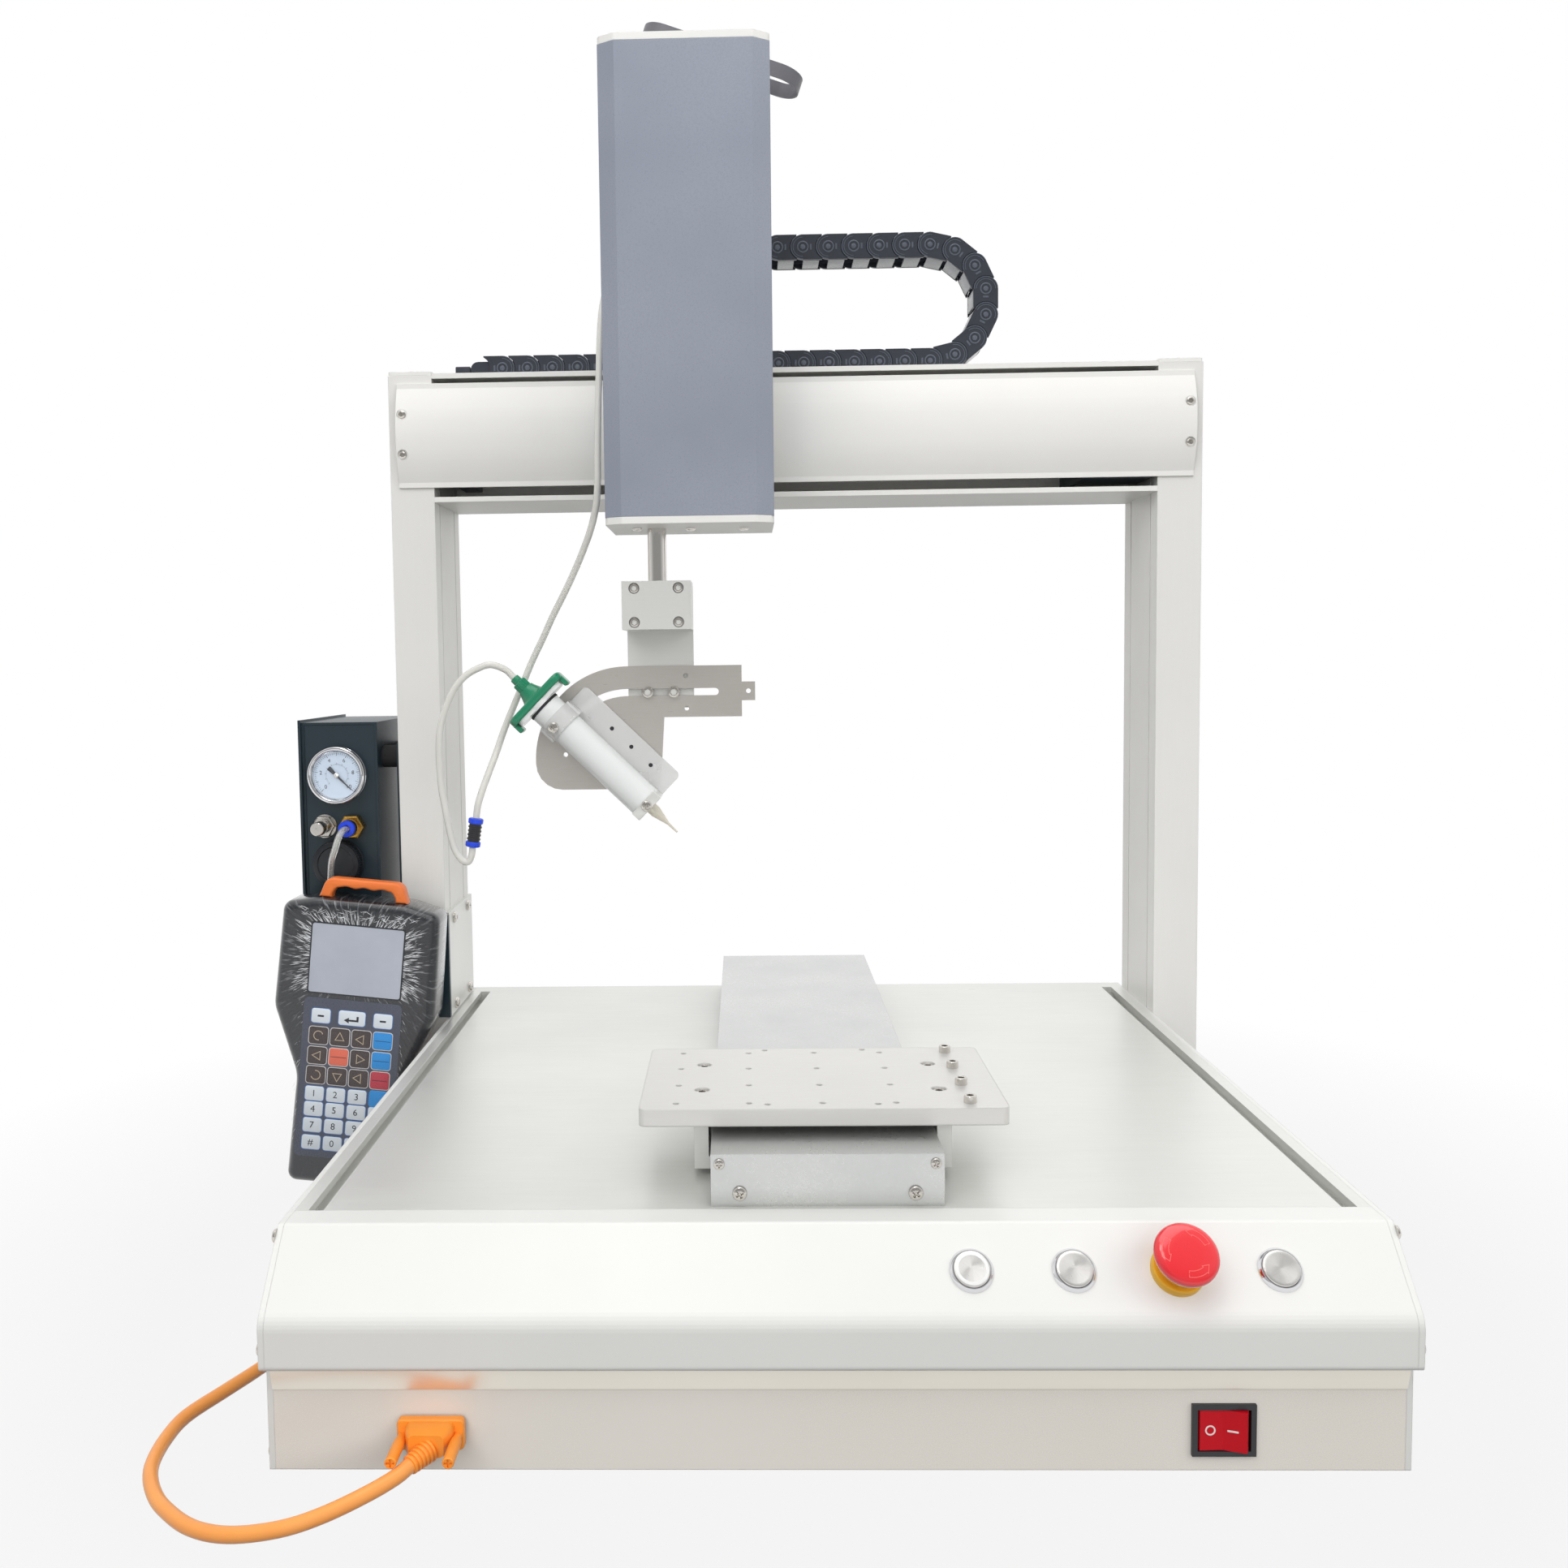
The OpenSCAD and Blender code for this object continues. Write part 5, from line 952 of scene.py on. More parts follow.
emergencyStop = {
    "x": 168.0,
    "head": [(0, -20), (7.0, -20), (7.0, 10.0), (11.4, 10.0), (12.4, 10.3), (12.9, 11.0), (15.2, 18.4),
             (15.5, 19.6), (15.35, 20.7), (14.6, 21.8), (13.0, 22.6), (10.5, 23.1), (7.0, 23.45),
             (3.5, 23.63), (0, 23.7)],
    "collar": [(7.2, -3.0), (7.2, 4.6), (7.6, 5.0), (12.2, 5.0), (12.8, 4.6), (13.0, 4.0), (13.0, 0.02),
               (10.9, 0.02), (10.9, -3.0)],
    "arrows": {"count": 3, "start": 20.0, "sweep": 46.0, "head": 20.0, "inner": 8.9, "outer": 12.1,
               "line": 0.34},
}


def stopHeight(profile, radius):
    top = [p for p in profile if p[1] > 19.0]
    for (r0, z0), (r1, z1) in zip(top, top[1:]):
        if r1 <= radius <= r0:
            return z0 + (z1 - z0) * (r0 - radius) / max(r0 - r1, 1e-6)
    return profile[-1][1]


def makeStop(size):
    place = slope(size["x"])
    turnedPiece("stopHead", size["head"], place, 72, "redPlastic", "estop_head",
                ["estop_head"], sharp=40)
    turnedPiece("stopCollar", size["collar"], place, 64, "yellowPlastic", "frame",
                ["estop_collar"], ring=True)
    bm = bmesh.new()
    arrows = size["arrows"]
    for k in range(arrows["count"]):
        a0 = arrows["start"] + 360 / arrows["count"] * k
        a1 = a0 + arrows["sweep"]
        middle = (arrows["inner"] + arrows["outer"]) / 2
        half = (arrows["outer"] - arrows["inner"]) / 2
        turns = arcTurns(a0, a1 - a0, 10)
        loop = [(arrows["outer"], a) for a in turns]
        loop += [(middle + half * 1.5, a1), (middle, a1 + arrows["head"]), (middle - half * 1.5, a1)]
        loop += [(arrows["inner"], a) for a in reversed(turns)]
        flat = [polar(r, math.radians(a)) for r, a in loop]
        inner = shrink(flat, arrows["line"])
        for lift in (0.06, -0.05):
            rings = [[bm.verts.new(place @ Vector((x, y, stopHeight(size["head"], math.hypot(x, y)) + lift)))
                      for x, y in loop] for loop in (flat, inner)]
            bridge(bm, *rings)
    shapePiece("stopArrows", bm, "paleRed", "estop_head")


makeStop(emergencyStop)
print("console made")


# Marks on the power switch

rockerMarks = {"pivot": (189, -257, 31), "tilt": -8, "dip": 4.2, "rise": 2.4, "half": 13.6,
               "ring": (-6.0, 2.55, 1.8), "bar": (4.6, 5.2, 0.95)}


def makeRockerMarks(size):
    bm = bmesh.new()
    base = spot(*size["pivot"], turned("Z", size["tilt"]))

    def onFace(x, side):  # flat on the dished face, side -1 left and 1 right
        lean = math.degrees(math.atan2(size["rise"], size["half"])) * -side
        y = -size["dip"] - size["rise"] * abs(x) / size["half"]
        return base @ moved(x, y, 0) @ turned("Z", lean) @ frontTurn

    x, outer, inner = size["ring"]
    lathe(bm, [(inner, -0.1), (inner, 0.1), (outer, 0.1), (outer, -0.1)], onFace(x, -1), 36, ring=True)
    x, length, wide = size["bar"]
    prism(bm, roundRect(-length / 2, -wide / 2, length / 2, wide / 2, 0.2, 2), -0.1, 0.1, onFace(x, 1))
    shapePiece("rockerMarks", bm, "printWhite", "rocker")


makeRockerMarks(rockerMarks)


# Text as mesh, and lines of marks


def addText(bm, words, height, place, lift=0.12):
    font = bpy.data.curves.new("words", "FONT")
    font.body = words
    font.size = height
    font.align_x, font.align_y = "CENTER", "CENTER"
    font.extrude = lift / 2
    font.resolution_u = 3
    mesh = bakeMesh(addObject("words", font))
    mesh.transform(place)
    bm.from_mesh(mesh)
    bpy.data.meshes.remove(mesh)


# Pressure gauge on the controller

pressureGauge = {
    "dial": (-362, 163.5, 321), "rest": -45.0,  # degrees of the needle
    "needle": [(-8.6, -1.7), (-5.0, -1.5), (-1.5, -0.9), (3, -0.75), (16.2, -0.22), (16.2, 0.22), (3, 0.75),
               (-1.5, 0.9), (-5.0, 1.5), (-8.6, 1.7)],
    "hub": [(0, 0.5), (2.1, 0.5), (2.1, 1.0), (1.7, 1.35), (0.8, 1.5), (0, 1.5)],
    "glass": [(0, 3.7), (10, 3.6), (19.4, 3.3), (19.4, 3.0), (10, 3.25), (0, 3.35)],
    "bezel": [(0, -6.0), (22.6, -6.0), (23.0, -5.6), (23.0, -1.6), (22.7, -0.9), (22.3, -0.7), (22.3, 0.3),
              (22.8, 0.9), (23.0, 1.6), (22.9, 3.2), (22.4, 4.3), (21.6, 4.9), (20.7, 4.95), (20.0, 4.5),
              (19.7, 3.7), (19.4, 3.2), (18.9, 2.9), (18.5, 2.2), (18.4, 0.1), (0, 0.1)],
    "face": 18.3, "start": 225.0, "sweep": 270.0, "marks": 51, "numbers": 6, "numberRing": 12.9,
    "numberHigh": 4.4,
    # long, short: ring and share, inwards below 0
    "strokes": (((17.8, -1.0), (8.2, 0.7)), ((17.8, -0.6), (8.2, 0.4))),
}


def makeGauge(size):
    place = spot(*size["dial"], frontTurn)
    turnedPiece("gaugeBezel", size["bezel"], place, 72, "chromeTrim", "frame",
                ["pressure_gauge"], sharp=40)
    bm = bmesh.new()
    lathe(bm, [(0, 0.12), (size["face"], 0.12), (size["face"], 0.3), (0, 0.35)], place, 64)
    lathe(bm, [(0, 0.3), (1.4, 0.3), (1.4, 1.4), (0, 1.5)], place, 24)
    shapePiece("gaugeDial", bm, "dialWhite", "frame")
    bm = bmesh.new()
    block(bm, mm(-0.16, 0, -0.05), mm(0.16, 2.4, 0.08))
    stroke = closeMesh("gaugeStroke", bm)
    places = []
    for k in range(size["marks"]):
        a = math.radians(size["start"] - size["sweep"] * k / (size["marks"] - 1))
        for radius, share in size["strokes"][k % 5 > 0]:
            spin = Matrix.Rotation(a - math.pi / 2 + (math.pi if share < 0 else 0), 4, "Z")
            at = place @ Vector((*polar(radius, a), 0.4))
            places.append((at, (frontTurn @ spin).to_quaternion(), abs(share)))
    repeatPiece("gaugeMarks", stroke, places, "printBlack", "frame")
    bm = bmesh.new()
    for k in range(size["numbers"]):
        a = math.radians(size["start"] - size["sweep"] * k / (size["numbers"] - 1))
        addText(bm, str(k * 2), size["numberHigh"], place @ moved(*polar(size["numberRing"], a), 0.42))
    shapePiece("gaugeNumbers", bm, "printBlack", "frame")
    bm = bmesh.new()
    needle = place @ moved(0, 0, 1.6) @ turned("Z", size["rest"])
    prism(bm, size["needle"], 0, 0.7, needle)
    shapePiece("gaugeNeedle", bm, "printBlack", "gauge_pointer", ["gauge_pointer"])
    turnedPiece("gaugeHub", size["hub"], needle, 28, "brightSteel", "gauge_pointer")
    turnedPiece("gaugeGlass", size["glass"], place, 48, "gaugeGlass", "frame")


makeGauge(pressureGauge)

controllerFittings = {
    "valve": (-374.5, 169.5, 280), "outlet": (-351.5, 169.5, 280), "bush": (-323, 203.5, 81.5),
    "regulator": (-363, 169, 251), "ribs": 60, "ribRing": 18.3,
    "valveHex": (9.0, 0.8, 6.0, 0.7), "outletHex": (10.0, 0, 10.0, 0.9),  # radius, low, high, chamfer
    "flange": [(0, -0.5), (9.4, -0.5), (9.4, 0.7), (9.0, 1.0), (0, 1.0)],
    "knob": [(0, 11.3), (4.9, 11.3), (5.4, 11.8), (5.5, 13.0), (5.5, 20.6), (5.2, 21.6), (4.6, 22.0),
             (1.2, 22.0), (0.9, 21.6), (0, 21.6)],
    "stem": [(0, 3.5), (2.0, 3.5), (2.0, 11.4), (0, 11.4)],
    "seat": [(0, 9.8), (6.9, 9.8), (7.0, 10.2), (7.0, 13.4), (6.6, 14.0), (0, 14.0)],
    "collar": [(2.55, 13.5), (4.6, 13.5), (4.6, 17.5), (6.2, 18.2), (6.5, 18.8), (6.5, 21.6), (6.1, 22.3),
               (3.6, 22.5), (2.9, 22.0), (2.55, 20.5)],
    "bushShape": [(0, 0), (4.6, 0), (5.2, 0.6), (5.4, 5.2), (6.0, 5.8), (6.0, 8.6), (5.6, 9.0), (0, 9.0)],
    "regulatorShape": [(0, -5), (4, -5), (4, 0), (18.6, 0), (18.9, 0.4), (18.9, 1.8), (18.3, 2.2),
                       (18.3, 12.4), (17.9, 13.5), (16.9, 14.0), (14.6, 14.0), (14.2, 13.7), (13.9, 13.1),
                       (6.0, 13.0), (0, 13.0)],
}


def hexNut(bm, size, place):
    radius, low, high, chamfer = size
    prism(bm, [polar(radius, math.radians(60 * k)) for k in range(6)], low, high, place, chamfer)


def makeFittings(size):
    valve, outlet = spot(*size["valve"], frontTurn), spot(*size["outlet"], frontTurn)
    bm = bmesh.new()
    lathe(bm, size["flange"], valve, 36)
    hexNut(bm, size["valveHex"], valve)
    profile = [(0, 5.5), (5.0, 5.5)]
    for k in range(5):
        profile += [(5.0, 6.0 + k), (4.6, 6.5 + k)]
    lathe(bm, profile + [(4.6, 11.0), (0, 11.0)], valve, 32)
    shapePiece("valveNut", bm, "screwSteel", "frame")
    bm = bmesh.new()
    lathe(bm, size["knob"], valve, 40)
    lathe(bm, size["stem"], valve, 20)
    shapePiece("vacuumKnob", bm, "screwSteel", "vacuum_knob", ["vacuum_knob"])
    bm = bmesh.new()
    hexNut(bm, size["outletHex"], outlet)
    lathe(bm, size["seat"], outlet, 36)
    shapePiece("outletHex", bm, "brassFitting", "frame", ["panel_fittings"])
    turnedPiece("outletCollar", size["collar"], outlet, 40, "bluePlastic", "frame",
                ring=True)
    turnedPiece("tubeBush", size["bushShape"], spot(*size["bush"], turned("Y", 90)), 32, "blackRubber",
                "frame")
    knob = spot(*size["regulator"], frontTurn)
    turnedPiece("regulatorKnob", size["regulatorShape"], knob, 64, "knobBlack", "regulator_knob",
                ["regulator_knob"])
    bm = bmesh.new()
    block(bm, mm(-0.6, -0.5, 2.6), mm(0.6, 0.6, 12.2), 0.00025)
    rib = closeMesh("knobRib", bm)
    places = []
    for a in circle(size["ribs"]):
        turn = (frontTurn @ Matrix.Rotation(a - math.pi / 2, 4, "Z")).to_quaternion()
        places.append((knob @ Vector((*polar(size["ribRing"], a), 0)), turn, 1.0))
    repeatPiece("knobRibs", rib, places, "knobBlack", "regulator_knob")


makeFittings(controllerFittings)
print("controller made")


# Teach pendant: its own frame stands on its foot and leans a little

teachPendant = {
    "place": (-354.8, 113, 8), "lean": 5.9, "depth": 36.0,
    "outline": ([(-43, 0), (43, 0), (41, 84), (62, 136), (60, 216), (34, 222), (-34, 222), (-60, 216),
                 (-62, 136), (-41, 84)], [8, 8, 30, 24, 8, 30, 30, 8, 24, 30]),
    "edges": [(36.0, 4.0), (35.2, 1.8), (33.5, 0.5), (31.5, 0), (8.0, 0), (5.2, 0.5), (2.8, 1.7), (1.0, 3.6),
              (0.2, 5.4), (0.0, 6.6)],
    "screen": (70.0, 53.0, 150.0), "panel": (-37.5, 22.0, 37.5, 146.0),
    "gland": (2, 29, 6.5, 14.0),
    "keyPitch": 16.4, "key": (14.4, 11.2), "tall": 13.2, "rise": 0.8, "wideRow": 132.0,
    "rows": [116.7, 101.2, 86.0, 71.5, 59.4, 46.8, 33.3],
    "handle": {"half": 34.0, "high": 15.2, "bar": 7.4, "leg": 9.5, "wave": 1.2, "front": 6.0, "thick": 12.0},
}
pendantHome = spot(*teachPendant["place"], turned("Y", teachPendant["lean"]))
pendantDraw = pendantHome @ swapYZ  # outline to XZ, depth Y


def addWrap(name, first, second, glintTone, centre):  # dark case in clear film that creases towards its window, with painted glints in a pale colour along the creases
    tree, shader = startFinish(name)
    place = objectPlace(tree)
    local = addMapping(tree, place, Location=-centre)
    split = addNode(tree, "ShaderNodeSeparateXYZ", {"Vector": local}).outputs
    around, out = addMath(tree, "ARCTAN2", split["Z"], split["X"]), addLength(tree, local)
    rays = addNode(tree, "ShaderNodeCombineXYZ", {"X": around, "Y": out}).outputs["Vector"]
    fold = addNoise(tree, addMapping(tree, rays, Scale=(9.0, 26.0, 1.0)), 2.6, 4.0, 0.6)
    # streak masks the painted glints: the pale colour mixed into the case along the creases near the window
    streak = addMath(tree, "MULTIPLY", addRange(tree, fold, 0.0, 1.0, 0.56, 0.72),
                     addRange(tree, out, 0.8, 0.04, 0.038, 0.075))
    base = addMix(tree, addNoise(tree, place, 1800), tone(*first), tone(*second))
    feedNode(tree, shader, {
        "Base Color": addMix(tree, streak, base, tone(*glintTone)), "Roughness": addRange(tree, fold, 0.2, 0.42),
        "Coat Normal": addBump(tree, fold, 0.55, 0.0012), "Coat Weight": 1.0, "Coat Roughness": 0.06})


screenMiddle = pendantHome @ Vector((0, 0, teachPendant["screen"][2] + teachPendant["screen"][1] / 2))
# the third colour is the painted glint of the film creases
addWrap("pendantWrap", (36, 39, 44), (28, 30, 35), (196, 199, 203), screenMiddle)
addFinish("screenGlass", (184, 190, 203), (168, 174, 188), 0.12, 0.05, grain=60, depth=0.00002, broad=35.0,
          sockets={"Coat Weight": 1.0, "Coat Roughness": 0.05})
addFinish("panelFilm", (84, 89, 104), (66, 71, 84), 0.3, 0.08, grain=1400, broad=30.0, sockets=gloss)
for keyName, *colours in (("keyWhite", (232, 240, 246), (222, 231, 239)),
                          ("keyBlue", (52, 156, 232), (42, 142, 220)),
                          ("keyRed", (202, 66, 84), (188, 56, 74)),
                          ("keyOrange", (238, 120, 96), (226, 106, 84))):
    addFinish(keyName, *colours, 0.28, sockets=gloss)
addFinish("keyDark", (78, 66, 66), (60, 52, 54), 0.28, 0.08, depth=0.00004, broad=220.0, sockets=gloss)
addFinish("keyBorder", (226, 222, 220), (214, 210, 208), 0.3, depth=0.00002)
addFinish("keyEdge", (88, 128, 190), (76, 114, 176), 0.3, depth=0.00002)


def makePendant(size):
    bm = bmesh.new()
    outline = roundOutline(*size["outline"], steps=8)
    loft(bm, layered(outline, size["edges"]), pendantDraw)
    shapePiece("pendantShell", bm, "pendantWrap", "frame", ["pendant_body"], sharp=40)
    bm = bmesh.new()
    x, z, r, length = size["gland"]
    gland = pendantHome @ moved(x, size["depth"], z) @ turned("X", -90)
    lathe(bm, [(0, -1), (r, -1), (r, 4.5), (r - 0.5, 5), (5.2, 5.2), (5.2, 6.4), (5.9, 6.6), (5.9, 8),
               (5.0, 8.2), (5.0, 9.4), (5.5, 9.6), (5.5, 11), (4.7, 11.2), (4.7, length), (0, length)], gland,
          32)
    shapePiece("pendantGland", bm, "blackRubber", "frame")

    wide, high, low = size["screen"]
    bm = bmesh.new()
    prism(bm, roundRect(-wide / 2, low, wide / 2, low + high, 1.5), 1.0, -0.25, pendantDraw)
    shapePiece("pendantScreen", bm, "screenGlass", "frame")
    bm = bmesh.new()
    outer = roundRect(-wide / 2 - 1.2, low - 1.2, wide / 2 + 1.2, low + high + 1.2, 2)
    inner = roundRect(-wide / 2 + 0.3, low + 0.3, wide / 2 - 0.3, low + high - 0.3, 1.5)
    loft(bm, [(outer, 0.5), (shrink(outer, 0.3), -0.5), (shrink(inner, -0.4), -0.55), (inner, 0.4)],
         pendantDraw, ring=True)
    shapePiece("screenFrame", bm, "pendantPlastic", "frame")
    bm = bmesh.new()
    x0, z0, x1, z1 = size["panel"]
    prism(bm, roundRect(x0, z0, x1, z1, 4), 0.6, -0.3, pendantDraw)
    shapePiece("keyPanel", bm, "panelFilm", "frame")


def makeKeys(size):
    pitch, (wide, high), rise = size["keyPitch"], size["key"], size["rise"]
    turn = turned("Y", size["lean"]).to_quaternion()
    flat = milli @ swapYZ

    def cap(name, half, high=high):
        bm = bmesh.new()
        outline = roundRect(-half, -high / 2, half, high / 2, 2.0, 4)
        loft(bm, [(outline, 0), (outline, -rise + 0.35), (shrink(outline, 0.25), -rise + 0.08),
                  (shrink(outline, 0.6), -rise)], flat)
        return closeMesh(name, bm)

    def rim(name, half, high=high, edge=0.5):
        bm = bmesh.new()
        outer = roundRect(-half - edge, -high / 2 - edge, half + edge, high / 2 + edge, 2.4, 4)
        inner = shrink(outer, edge + 0.15)
        loft(bm, [(outer, 0.1), (outer, -0.45), (inner, -0.45), (inner, 0.1)], flat, ring=True)
        return closeMesh(name, bm)

    groups, tall = {}, {"keyBorder"}
    for row, z in enumerate(size["rows"]):
        for column in range(4):
            if row < 3:
                kind = ["keyBlue", "keyBlue", "keyRed"][row] if column == 3 else "keyDark"
                kind = "keyOrange" if (row, column) == (1, 1) else kind
            else:
                kind = "keyBlue" if (row, column) == (3, 3) else "keyWhite"
            at = pendantHome @ Vector(((column - 1.5) * pitch, 0, z))
            groups.setdefault(kind, []).append((at, turn, 1.0))
            groups.setdefault("keyEdge" if row > 2 else "keyBorder", []).append((at, turn, 1.0))
            if row < 3:
                tall.add(kind)
    ends = [(pendantHome @ Vector((s * pitch * 1.45, 0, size["wideRow"])), turn, 1.0) for s in (-1, 1)]
    groups["keyWhite"] += ends
    groups["keyEdge"] += ends
    for kind, places in groups.items():
        reach = size["tall"] if kind in tall else high
        shape = (rim if kind in ("keyEdge", "keyBorder") else cap)(kind + "Shape", wide / 2, reach)
        repeatPiece(kind + "s", shape, places, kind, "frame",
                    ["pendant_keypad"] if kind == "keyWhite" else ())
    middle = [(pendantHome @ Vector((0, 0, size["wideRow"])), turn, 1.0)]
    repeatPiece("enterKey", cap("enterCap", wide / 2 + 3), middle, "keyWhite", "frame")
    repeatPiece("enterEdge", rim("enterRim", wide / 2 + 3), middle, "keyEdge", "frame")

    face = pendantHome @ moved(0, -rise - 0.02, 0) @ frontTurn  # XY of the print on the key tops

    def keyTop(row, column):
        return face @ moved((column - 1.5) * pitch, size["rows"][row], 0)

    bm = bmesh.new()
    signs = ["123", "456", "789", "#0-"]
    for row, line in enumerate(signs):
        for column, sign in enumerate(line):
            addText(bm, sign, 7.2, face @ moved((column - 1.5) * pitch - 0.4, size["rows"][row + 3], 0))
    for s in (-1, 1):
        prism(bm, roundRect(-2.4, -0.7, 2.4, 0.7, 0.3, 2), -0.06, 0.06,
              face @ moved(s * pitch * 1.45, size["wideRow"], 0))
    arrow = [(-6, -1.6), (-2.2, 0.6), (-2.2, -0.9), (3.6, -0.9), (3.6, 1.8), (5.2, 1.8), (5.2, -2.3),
             (-2.2, -2.3), (-2.2, -3.8)]
    prism(bm, arrow, -0.06, 0.06, face @ moved(0, size["wideRow"], 0))
    shapePiece("keyPrints", bm, "printBlack", "frame")
    bm = bmesh.new()
    points = [(4.2, 0), (-2.6, 3.8), (-2.6, -3.8)]
    inner = shrink(points, 0.5)
    spins = {(0, 1): 90, (0, 2): 60, (1, 0): 180, (1, 2): 0, (2, 1): 270, (2, 2): 300}
    for (row, column), spin in spins.items():
        here = keyTop(row, column) @ turned("Z", spin)
        loft(bm, [(points, -0.06), (points, 0.06), (inner, 0.06), (inner, -0.06)], here, ring=True)
    for row, column in ((0, 0), (2, 0)):
        turns = [math.radians(a + 180 * (row > 0)) for a in arcTurns(20, 260, 16)]
        hook = [polar(3.8, a) for a in turns] + [polar(3.2, a) for a in reversed(turns)]
        prism(bm, hook, -0.06, 0.06, keyTop(row, column))
    shapePiece("keyIcons", bm, "tanPlastic", "frame")
    bm = bmesh.new()
    for row, column in ((0, 3), (1, 3), (2, 3), (1, 1)):
        prism(bm, [(-6.0, -0.18), (6.0, -0.18), (6.0, 0.18), (-6.0, 0.18)], -0.06, 0.06, keyTop(row, column))
    shapePiece("keyLines", bm, "printBlack", "frame")


def makeHandle(size):
    grip = size["handle"]
    w, h, b, leg = grip["half"], grip["high"], grip["bar"], grip["leg"]
    half = w - leg - 1.5
    points = roundOutline([(-w, 0), (-w + 5, h), (w - 5, h), (w, 0)], [0, 8, 8, 0], 8)
    inner = [(w - leg, 0), (w - leg - 0.4, 3.4), (half - 0.6, 6.2)]
    inner += [(half - 2.4 - 2 * (half - 2.4) * k / 32,
               h - b + grip["wave"] * (0.5 - 0.5 * math.cos(2 * math.pi * 3 * k / 32))) for k in range(33)]
    inner += [(-half + 0.6, 6.2), (-w + leg + 0.4, 3.4), (-w + leg, 0)]
    top = size["outline"][0][5][1]
    outline = [(x, z + top) for x, z in points + inner]
    y0, y1 = grip["front"], grip["front"] + grip["thick"]
    steps = [(y0, 1.7), (y0 + 0.5, 0.75), (y0 + 1.5, 0.15), (y0 + 2.6, 0), (y1 - 2.6, 0), (y1 - 1.5, 0.15),
             (y1 - 0.5, 0.75), (y1, 1.7)]
    bm = bmesh.new()
    loft(bm, layered(outline, steps), pendantDraw)
    shapePiece("pendantHandle", bm, "orangePlastic", "frame", ["pendant_handle"], sharp=40)


# Painted highlights: pale slivers for the glints where the clear film is drawn tight round the screen and the
# keys

filmCreases = {"seed": 7, "count": 520, "topGlints": 90, "long": 9.0, "wide": 0.5, "high": 0.14, "spread": 12.0}
# pale colour of the painted film glints
addFinish("filmGlintPaint", (236, 238, 241), (220, 223, 227), 0.16, grain=1500, depth=0.00001, sockets=gloss)


def makeFilmGlints(size, pendant):
    draw = random.Random(size["seed"])
    bm = bmesh.new()
    half, side = size["long"] / 2, size["wide"] / 2
    rim = [bm.verts.new(mm(x, 0, z)) for x, z in ((-half, 0), (0, -side), (half, 0), (0, side))]
    top, under = bm.verts.new(mm(0.6, -size["high"], 0)), bm.verts.new(mm(0, 0.2, 0))
    bridge(bm, rim, [top])
    bridge(bm, rim, [under])
    shape = closeMesh("glintShape", bm)
    wide, high, low = pendant["screen"]
    home = turned("Y", pendant["lean"])
    places = []
    for k in range(size["count"]):
        along, out = draw.random(), size["spread"] * draw.random() ** 1.8
        jitter, share = draw.uniform(-9, 9), draw.uniform(0.25, 1.0)
        turnsRound = along * 4
        if turnsRound < 1.3:  # left of the screen
            x, z = -wide / 2 - 1.5 - out, low + high * turnsRound / 1.3
        elif turnsRound < 2.6:
            x, z = wide / 2 + 1.5 + out, low + high * (turnsRound - 1.3) / 1.3
        elif turnsRound < 3.4:  # above it
            x, z = -wide / 2 + wide * (turnsRound - 2.6) / 0.8, low + high + 1.5 + out * 0.55
        else:  # beside the keys
            x, z = draw.choice((-1, 1)) * (38.0 + out * 0.3), 26 + 118 * (turnsRound - 3.4) / 0.6
            share *= 0.6
        if abs(x) > 48 or z > 214:
            continue
        aim = math.degrees(math.atan2(z - low - high / 2, x)) + jitter
        turn = (home @ turned("Y", -aim)).to_quaternion()
        places.append((pendantHome @ Vector((x, -0.02, z)), turn, share))
    for k in range(size["topGlints"]):  # painted glints of loose folds along the top edge
        x, z = draw.uniform(-46, 46), draw.uniform(207.5, 214.5)
        turn = (home @ turned("Y", draw.gauss(0, 38))).to_quaternion()
        places.append((pendantHome @ Vector((x, -0.02, z)), turn, draw.uniform(0.3, 0.9)))
    repeatPiece("filmCreases", shape, places, "filmGlintPaint", "frame")


makePendant(teachPendant)
makeFilmGlints(filmCreases, teachPendant)
makeKeys(teachPendant)
makeHandle(teachPendant)
print("pendant made")


# Screws: one cross head and one socket head, set wherever the object has them

screwSizes = {"head": 3.5, "high": 2.0, "sides": 32}


def crossHead(size):  # domed head with a sunk cross, top along +Z
    bm = bmesh.new()
    sides, r, h = size["sides"], size["head"], size["high"]
    rings = []
    for share, height in ((1.0, 0.0), (1.0, 0.35 * h), (0.93, 0.62 * h), (0.78, 0.82 * h), (0.56, 0.95 * h),
                          (0.5, 0.97 * h), (0.32, h), (0.14, h)):
        ring = []
        for a in circle(sides):
            x, y = polar(share * r, a)
            sunk = share < 0.52 and min(abs(x), abs(y)) < 0.12 * r
            ring.append(bm.verts.new(mm(x, y, height - (0.45 * h if sunk else 0))))
        rings.append(ring)
    skin(bm, rings + [[bm.verts.new(mm(0, 0, 0.55 * h))]])
    return closeMesh("crossHead", bm)


def socketHead(radius, high):  # cylinder head with a hexagon socket
    bm = bmesh.new()
    across = radius * 0.5

    def hexRadius(a):
        return across / math.cos((a + math.pi / 6) % (math.pi / 3) - math.pi / 6)

    rings = []
    for kind, share, height in (("round", 1.0, 0), ("round", 1.0, high - 0.4), ("round", 0.93, high - 0.05),
                                ("round", 0.9, high), ("hex", 1.08, high), ("hex", 1.0, high - 0.15),
                                ("hex", 1.0, high * 0.4)):
        reach = [(a, radius if kind == "round" else hexRadius(a)) for a in circle(36)]
        rings.append([bm.verts.new(mm(*(Vector((math.cos(a), math.sin(a))) * share * r),
                                      height)) for a, r in reach])
    skin(bm, rings)
    return closeMesh("socketHead", bm)


